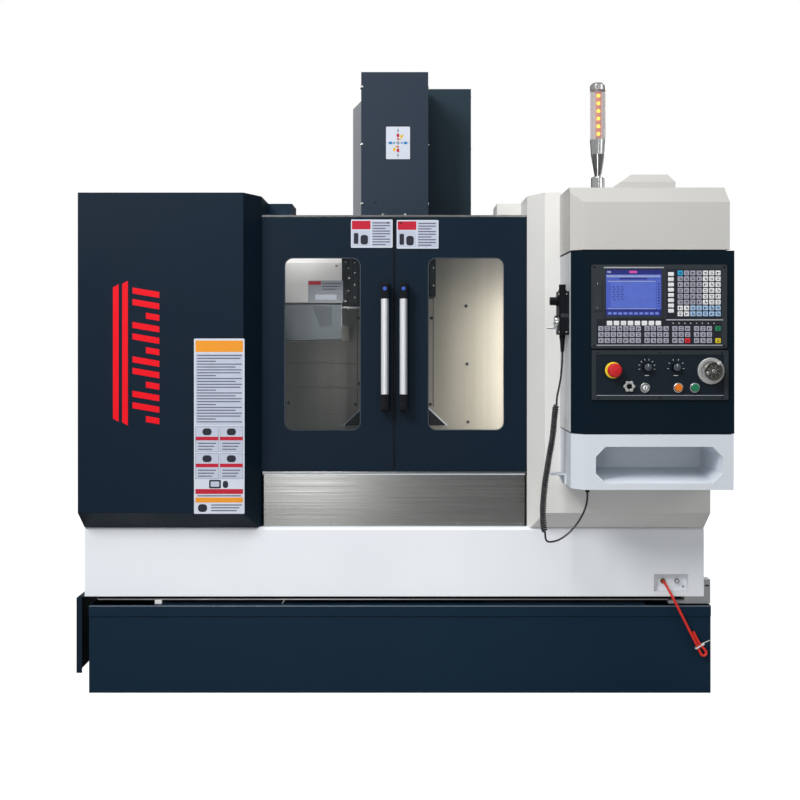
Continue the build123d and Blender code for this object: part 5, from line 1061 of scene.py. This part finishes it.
def panel_trim():
    """Rims, dial marks, collars and bezels of the operator panel."""
    piece = Piece("panel_trim", "machine", "panel_grey")
    x0, x1, z0, z1 = PANEL
    middle = (x0 + x1) / 2
    outer = rounded(x1 - x0, z1 - z0, 0.005, 4)
    inner = rounded(x1 - x0 - 0.026, z1 - z0 - 0.026, 0.002, 4)
    piece.ring(outer, inner, 0.0016, on_front(middle, PANEL_FACE, (z0 + z1) / 2), PANEL_RIM)
    piece.box((x0 + 0.014, PANEL_FACE - 0.0021, z0 + 0.0125), (x1 - 0.014, PANEL_FACE, z0 + 0.014),
              PLATE_GREY)
    places = rows_of((x0 + 0.018, middle, x1 - 0.018), PANEL_FACE - 0.0016, (z0 + 0.0065, z1 - 0.0065))
    piece.screws(places, 0.0028, DARK_SCREW)
    for x, z, ticks, sweep in DIALS:
        for index in range(ticks):
            angle = 90 + sweep / 2 - index * sweep / (ticks - 1)
            tick = on_front(x, PANEL_FACE, z) @ turn_about("Z", angle) @ shift(TICK_R, 0, 0)
            piece.tablet(0.0046, 0.0014, 0.0004, INK, tick, MARK, 1)
        piece.tablet(0.012, 0.0018, 0.0004, INK, on_front(x, PANEL_FACE, z - 0.0235), MARK, 1)
    piece.turned(ESTOP_COLLAR, on_front(ESTOP[0], PANEL_FACE, ESTOP[1]), YELLOW, 40)
    for x, z in BUTTONS:
        piece.turned(BEZEL, on_front(x, PANEL_FACE, z), CHROME, 32)
    plug = on_front(CONNECTOR[0], PANEL_FACE, CONNECTOR[1])
    piece.turned(CONNECTOR_RING, plug, WHEEL_RIM, 36)
    piece.turned([(0, 0.0016), (0.0078, 0.0016)], plug, BLACK, 24)
    for index in range(LOBES):
        angle = 2 * pi * index / LOBES
        lobe = plug @ shift(LOBE_PLACE * cos(angle), LOBE_PLACE * sin(angle), 0)
        piece.turned(LOBE, lobe, WHEEL_RIM, 18)
    piece.done()


# Stack light
LIGHT_PLACE = (0.6005, -0.663)
LED_STRIP_Z = (1.688, 1.824)
LED_COUNT = 6
LED_FIRST = 1.7
LED_PITCH = 0.0224


def stack_light_core():
    piece = Piece("stack_light_leds", "machine", "lamp_lens")
    x, y = LIGHT_PLACE
    bottom, top = LED_STRIP_Z
    piece.box((x - 0.0085, y - 0.01, bottom), (x + 0.0085, y - 0.0076, top), LED_STRIP, 0.0004)
    for index in range(LED_COUNT):
        face = on_front(x, y - 0.01, LED_FIRST + index * LED_PITCH)
        piece.turned([(0, 0.0034), (0.0036, 0.0026), (0.0052, 0)], face, LED_AMBER, 20)
    piece.done()


# Pulse unit
RELIEF_NUT = ((0.009, 0), (0.009, 0.01), (0.0074, 0.0114), (0.0072, 0.015))
RELIEF_RIBS = 6


def cord_relief():
    """Nut and ribbed sleeve where the cord leaves the pulse unit."""
    piece = Piece("pulse_cord_relief", "machine", "black_plastic")
    x, y, z = (value * MM for value in PULSE_CORD_UPPER[0])
    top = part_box("mpg_body")[0][2]
    length = top - z
    profile = list(RELIEF_NUT)
    for rib in range(RELIEF_RIBS):
        share = rib / RELIEF_RIBS
        radius = 0.0078 - 0.0026 * share
        start = 0.016 + (length - 0.018) * share
        profile += [(radius, start), (radius, start + 0.0036), (radius - 0.0022, start + 0.0042),
                    (radius - 0.0022, start + 0.0052)]
    profile += [(0.0046, length - 0.001), (0.0036, length - 0.001)]
    piece.turned(profile, shift(x, y, top) @ turn_about("X", 180), BLACK, 24)
    piece.done()


def pulse_unit_trim():
    piece = Piece("pulse_unit_trim", "machine", "black_plastic")
    low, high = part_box("mpg_body")
    piece.box((low[0] + 0.004, low[1] - 0.0012, 1.16), (high[0], low[1], 1.171), UNIT_FRAME, 0.0005)
    for z in (low[2] + 0.008, high[2] - 0.008):
        piece.screw((high[0] - 0.008, low[1], z), 0.0024)
        for y in (low[1] + 0.01, high[1] - 0.01):
            piece.screw((low[0], y, z), 0.0026, facing=FACING_LEFT)
    piece.done()


# Interior seen through the windows
WALL_FOLDS = (1.006, 0.914)
WALL_SCREWS = (
    (-0.1354, 1.178), (-0.1335, 0.933), (-0.1485, 0.855), (0.1314, 0.855), (0.1354, 1.178), (0.265, 1.223),
    (0.2687, 1.006), (0.2725, 0.789), (-0.4, 0.86), (0.56, 1.223), (0.56, 1.006), (0.56, 0.789),
    (-0.56, 1.223), (-0.56, 0.789),
)


def wall_details():
    """Folds, seams, corner plates and screws of the rear sheet."""
    piece = Piece("rear_wall_folds", "machine", "stainless")
    y = REAR_SHEET
    fold = [(0, 0), (-0.0025, 0.002), (-0.0025, 0.006), (0, 0.008)]
    for z in WALL_FOLDS:
        piece.prism(fold, 0.572, shift(-0.69, y, z) @ SIDE_VIEW, WALL_STEEL)
    for x in (-0.142, 0.142):
        piece.box((x - 0.0012, y - 0.0012, 0.845), (x + 0.0012, y, 1.395), DARK_SCREW)
    piece.screws([(x, y, z) for x, z in WALL_SCREWS], 0.0062, DARK_SCREW)
    face = on_front(0, y - 0.008, 0)
    for sign in (-1, 1):
        inner, outer, tip = sign * 0.1215, sign * 0.1905, sign * 0.1973
        piece.prism([(inner, 0.777), (outer, 0.777), (inner, 0.8415)], 0.0008, face, RUBBER)
        edge = [(inner, 0.848), (inner, 0.8415), (outer, 0.7765), (tip, 0.7765)]
        piece.prism(edge, 0.0012, face, PLATE_WHITE)
    piece.done()


MAGAZINE_PLATE = (-0.2832, -0.1686, 1.2197, 1.29)
MAGAZINE_SEAM = 1.21
BRACKET_END = -0.112
BRACKET_SCREWS = ((-0.148, 1.298, 0.0044), (-0.16, 1.35, 0.0034), (-0.16, 1.222, 0.0034),
                  (-0.152, 1.256, 0.0026), (-0.15, 1.33, 0.0026))


def magazine_trim():
    """Bare plate, grey skirt with a painted shadow on it, dark bracket and screws on the magazine's sheet.
    """
    piece = Piece("magazine_trim", "machine", "white_paint")
    low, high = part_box("magazine_cover")
    front = low[1]
    left = low[0] + 0.002
    right = high[0]
    face = on_front(0, front, 0)
    piece.field(face, *MAGAZINE_PLATE, PLATE_GREY, 0.0001, 0.003)
    piece.field(face, -0.2815, -0.241, 1.276, 1.288, PLATE_RED, 0.0003)
    for row in range(3):
        z = 1.278 - row * 0.009
        piece.field(face, -0.236, -0.173 - row * 0.008, z, z + 0.0032, PLATE_TEXT, 0.0003)
    piece.field(face, -0.26, -0.19, 1.227, 1.244, PLATE_WHITE, 0.0003, 0.003)
    seam_end = (right - 0.001, front, MAGAZINE_SEAM + 0.008)
    piece.box((left, front - 0.001, MAGAZINE_SEAM), seam_end, DARK_SCREW)
    skirt = [(left, 1.0925), (right - 0.01, 1.0985), (right - 0.0025, 1.106),
             (right - 0.0015, MAGAZINE_SEAM), (left, MAGAZINE_SEAM)]
    piece.prism(skirt, 0.0016, face, SKIRT_GREY, 0.0004)
    # A darker patch on the skirt: a painted shadow
    shade = [(-0.243, 1.139), (-0.2046, 1.139), (-0.2046, 1.2066), (-0.27, 1.2066)]
    piece.prism(shade, 0.0018, face, SKIRT_PAINTED_SHADOW)
    piece.box((left, front - 0.002, 1.0925), (-0.262, front - 0.001, 1.096), DARK_SCREW)
    piece.screws(rows_of((-0.66, -0.43, -0.19), front, (1.338,)), 0.0042)
    piece.box((right - 0.001, front, 1.205), (BRACKET_END, front + 0.003, 1.372), HEAD_PAINT, 0.0005)
    piece.box((-0.142, front - 0.006, 1.215), (BRACKET_END - 0.005, front, 1.364), BLACK, 0.002)
    piece.box((right, front - 0.001, 1.199), (BRACKET_END - 0.002, front + 0.002, 1.2035), STEEL, 0.0004)
    for x, z, radius in BRACKET_SCREWS:
        piece.screw((x, front, z), radius)
    piece.screws(rows_of((-0.1295,), front - 0.006, (1.235, 1.275, 1.315, 1.348)), 0.003)
    piece.done()


# Tray, tank and service ports
PORTS = ((0.8406, BRASS), (0.884, STEEL))
PORT_SLEEVE = ((0.0088, -0.006), (0.0088, 0.001), (0.0074, 0.0024), (0.0046, 0.0024), (0.0044, 0))
HEM = 0.0125


def service_ports():
    piece = Piece("port_collars", "machine", "ground_steel")
    for x, material in PORTS:
        piece.turned(PORT_SLEEVE, on_front(x, -0.455, 0.341), material, 6)
    piece.screw((0.9065, -0.443, 0.3215), 0.004)
    piece.done()


def body_screws():
    """Edges of the apron, and screws along the folded sheets of the enclosure."""
    piece = Piece("sheet_screws", "machine", "ground_steel")
    piece.screws(rows_of((-0.395, -0.2, 0.0, 0.2, 0.395), APRON_FRONT, (0.52,)), 0.0034)
    low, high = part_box("apron_panel")
    edge = high[2] - 0.0034
    piece.box((low[0] + 0.002, APRON_FRONT - 0.0008, edge), (high[0] - 0.002, APRON_FRONT, high[2]),
              PLATE_WHITE)
    for x in (low[0], high[0] - 0.0034):
        piece.box((x, APRON_FRONT - 0.0006, low[2] + 0.001), (x + 0.0034, APRON_FRONT, edge), RUBBER)
    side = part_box("left_housing")[0][0]
    for z in (0.62, 0.92, 1.22, 1.5):
        for y in (-0.5, 0.22):
            piece.screw((side, y, z), 0.0042, DARK_SCREW, FACING_LEFT)
            piece.screw((-side, y, z), 0.0042, facing=FACING_RIGHT)
    piece.done()


def tank_rim():
    """Rolled rim of the coolant tank, painted lighter than the tank as a highlight line along its top edge.
    """
    piece = Piece("tank_rim", "machine", "navy_paint")
    low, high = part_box("coolant_tank")
    start = (low[0] + 0.001, low[1] - 0.001, high[2] - 0.004)
    piece.box(start, (high[0] - 0.001, low[1] + 0.003, high[2]), RIM_HIGHLIGHT_NAVY, 0.0008)
    piece.done()


def tray_hem():
    """Folded hem under the tray, with a block and a strap."""
    piece = Piece("tray_hem", "machine", "stainless")
    low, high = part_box("base_tray")
    y = low[1] + 0.006
    bottom = low[2] - HEM
    left, right = low[0] + 0.04, high[0] - 0.11
    piece.box((left, y, bottom), (right, y + 0.003, low[2]), RUBBER)
    piece.box((left, y - 0.0012, bottom), (right, y + 0.003, bottom + 0.0036), STEEL, 0.0006)
    piece.box((-0.747, y - 0.004, 0.2715), (-0.725, y + 0.01, bottom), TIE_WHITE, 0.0015)
    strap = [(-0.352, 0.2715), (-0.348, 0.2715), (-0.341, bottom), (-0.345, bottom)]
    piece.prism(strap, 0.004, on_front(0, y, 0), STEEL)
    piece.done()


# Electrical cabinet
LATCH_X = 0.452
LATCHES = (0.62, 0.98, 1.26)
LATCH = ((0, 0.003), (0.004, 0.003), (0.012, 0.0042), (0.014, 0.003), (0.0145, 0))
LOUVRE_BANKS = (-0.27, 0.05)
LOUVRES = 9
LOUVRE_FIRST = 0.56
LOUVRE_PITCH = 0.022
SWITCH_PLACE = (0.38, 1.38)


def cabinet_details():
    """Louvres, latches and the main switch's plate on the electrical cabinet."""
    piece = Piece("cabinet_trim", "rear_door", "white_paint")
    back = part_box("cabinet_door")[1][1]
    for bank in LOUVRE_BANKS:
        for row in range(LOUVRES):
            matrix = shift(bank, back - 0.0005, LOUVRE_FIRST + row * LOUVRE_PITCH) @ SIDE_VIEW
            piece.prism([(0, 0), (0.006, 0.002), (0.0075, 0.006), (0, 0.012)], 0.22, matrix, WHITE, 0.0006)
    for z in LATCHES:
        face = shift(LATCH_X, back, z) @ FACING_BACK
        piece.turned(LATCH, face, CHROME, 28)
        piece.tablet(0.003, 0.012, 0.0008, 0.0008, face @ shift(0, 0, 0.004), BLACK, 2)
    piece.done()
    piece = Piece("switch_plate", "rear_door", "panel_grey")
    face = shift(SWITCH_PLACE[0], back - 0.0002, SWITCH_PLACE[1]) @ FACING_BACK
    outer = rounded(0.07, 0.07, 0.006, 4)
    piece.ring(outer, rounded(0.047, 0.047, 0.0234, 4), 0.0012, face, PLATE_YELLOW)
    piece.done()


def build_pieces():
    dress_nodes()
    pulse_cord()
    air_hose()
    for side, sign in (("left", -1), ("right", 1)):
        handle(side, sign)
        door_trim(side, sign)
    door_plate("left")
    door_plate("right")
    left_housing_marks()
    placard()
    head_plate()
    cover_screws()
    screen_picture()
    key_tops()
    unit_trim()
    panel_trim()
    console_side()
    dial_faces()
    wheel_face()
    key_face()
    stack_light_core()
    pulse_unit_trim()
    cord_relief()
    wall_details()
    magazine_trim()
    service_ports()
    body_screws()
    tank_rim()
    tray_hem()
    cabinet_details()


# Stage, light and camera
FLOOR_COLOUR = (0.33, 0.33, 0.33, 1)
FLOOR_GLOW = 0.9                  # added for the camera alone, so that the open floor is white
WORLD_LIGHT = 0.28
WORLD_GLOSS = 0.36
PURE_WHITE = (1, 1, 1, 1)


def floor():
    bpy.ops.mesh.primitive_plane_add(size=60, location=(0, 0, 0))
    item = bpy.context.object
    item.name = "floor"
    finish = Finish("pale_floor", FLOOR_COLOUR, 0.85)
    finish.inputs["Emission Color"].default_value = PURE_WHITE
    path = add_node(finish.tree, "LightPath")
    amount = math_node(finish.tree, "MULTIPLY")
    amount.inputs[1].default_value = FLOOR_GLOW
    finish.links.new(path.outputs["Is Camera Ray"], amount.inputs[0])
    finish.links.new(amount.outputs["Value"], finish.inputs["Emission Strength"])
    item.data.materials.append(finish.material)


def world():
    """White to the camera and through glass, softer as light."""
    sky = bpy.data.worlds.new("studio")
    bpy.context.scene.world = sky
    sky.use_nodes = True
    tree = sky.node_tree
    links = tree.links
    shader = tree.nodes["Background"]
    path = add_node(tree, "LightPath")
    seen = math_node(tree, "MAXIMUM")
    links.new(path.outputs["Is Camera Ray"], seen.inputs[0])
    links.new(path.outputs["Is Transmission Ray"], seen.inputs[1])
    glossy = add_node(tree, "MapRange", To_Min=WORLD_LIGHT, To_Max=WORLD_GLOSS)
    links.new(path.outputs["Is Glossy Ray"], glossy.inputs["Value"])
    level = math_node(tree, "MAXIMUM")
    links.new(glossy.outputs["Result"], level.inputs[0])
    links.new(seen.outputs["Value"], level.inputs[1])
    shader.inputs["Color"].default_value = PURE_WHITE
    links.new(level.outputs["Value"], shader.inputs["Strength"])


# Each lamp: name, place, aim, size, power in watts, colour and spread in degrees
LAMPS = (
    ("key", (-2.3, -4.2, 4.0), (-0.1, -0.4, 0.9), (1.7, 1.7), 205, PURE_WHITE, 180),
    ("low_card", (-0.6, -4.7, 0.45), (-0.3, -0.44, 0.55), (0.5, 2.0), 17, PURE_WHITE, 180),
    ("strip", (0.95, -4.6, 2.0), (0.6, -0.6, 1.6), (0.12, 1.4), 2.5, PURE_WHITE, 180),
    ("fill", (3.4, -3.4, 2.6), (0.4, -0.4, 0.9), (1.8, 1.8), 14, PURE_WHITE, 180),
    ("top", (0.2, -2.2, 4.6), (0.1, -0.4, 1.0), (2.6, 2.0), 45, PURE_WHITE, 180),
    ("back", (2.4, 4.6, 3.4), (0.0, 0.6, 1.0), (2.2, 2.2), 110, PURE_WHITE, 180),
    ("pocket_lamp", (0.75, -0.782, 0.754), (0.75, -0.745, 0.7), (0.32, 0.008), 0.045, PURE_WHITE, 180),
    ("work_lamp", (0.62, -0.12, 1.00), (0.37, 0.24, 0.96), (0.08, 0.6), 1.5, (1.0, 0.94, 0.84), 56),
    ("magazine_lamp", (-0.42, -0.37, 1.46), (-0.4, -0.2, 1.36), (0.36, 0.04), 0.6, PURE_WHITE, 180),
)


def lights():
    for name, place, aim, size, power, colour, spread in LAMPS:
        data = bpy.data.lights.new(name, "AREA")
        data.shape = "RECTANGLE"
        data.size, data.size_y = size
        data.energy = power
        data.color = colour[:3]
        data.spread = radians(spread)
        item = add_object(name, data)
        item.location = place
        item.rotation_euler = (Vector(aim) - Vector(place)).to_track_quat("-Z", "Y").to_euler()
        item.visible_camera = False


def camera():
    data = bpy.data.cameras.new("camera")
    data.sensor_width = SENSOR
    data.lens = SENSOR * FOCAL_PIXELS / PICTURE
    data.shift_y = HORIZON_ROW / PICTURE - 0.5
    item = add_object("camera", data)
    item.location = CAMERA_PLACE
    item.rotation_euler = (pi / 2, 0, 0)
    bpy.context.scene.camera = item


build_pieces()
floor()
world()
lights()
camera()
bpy.context.scene.view_settings.view_transform = "Standard"
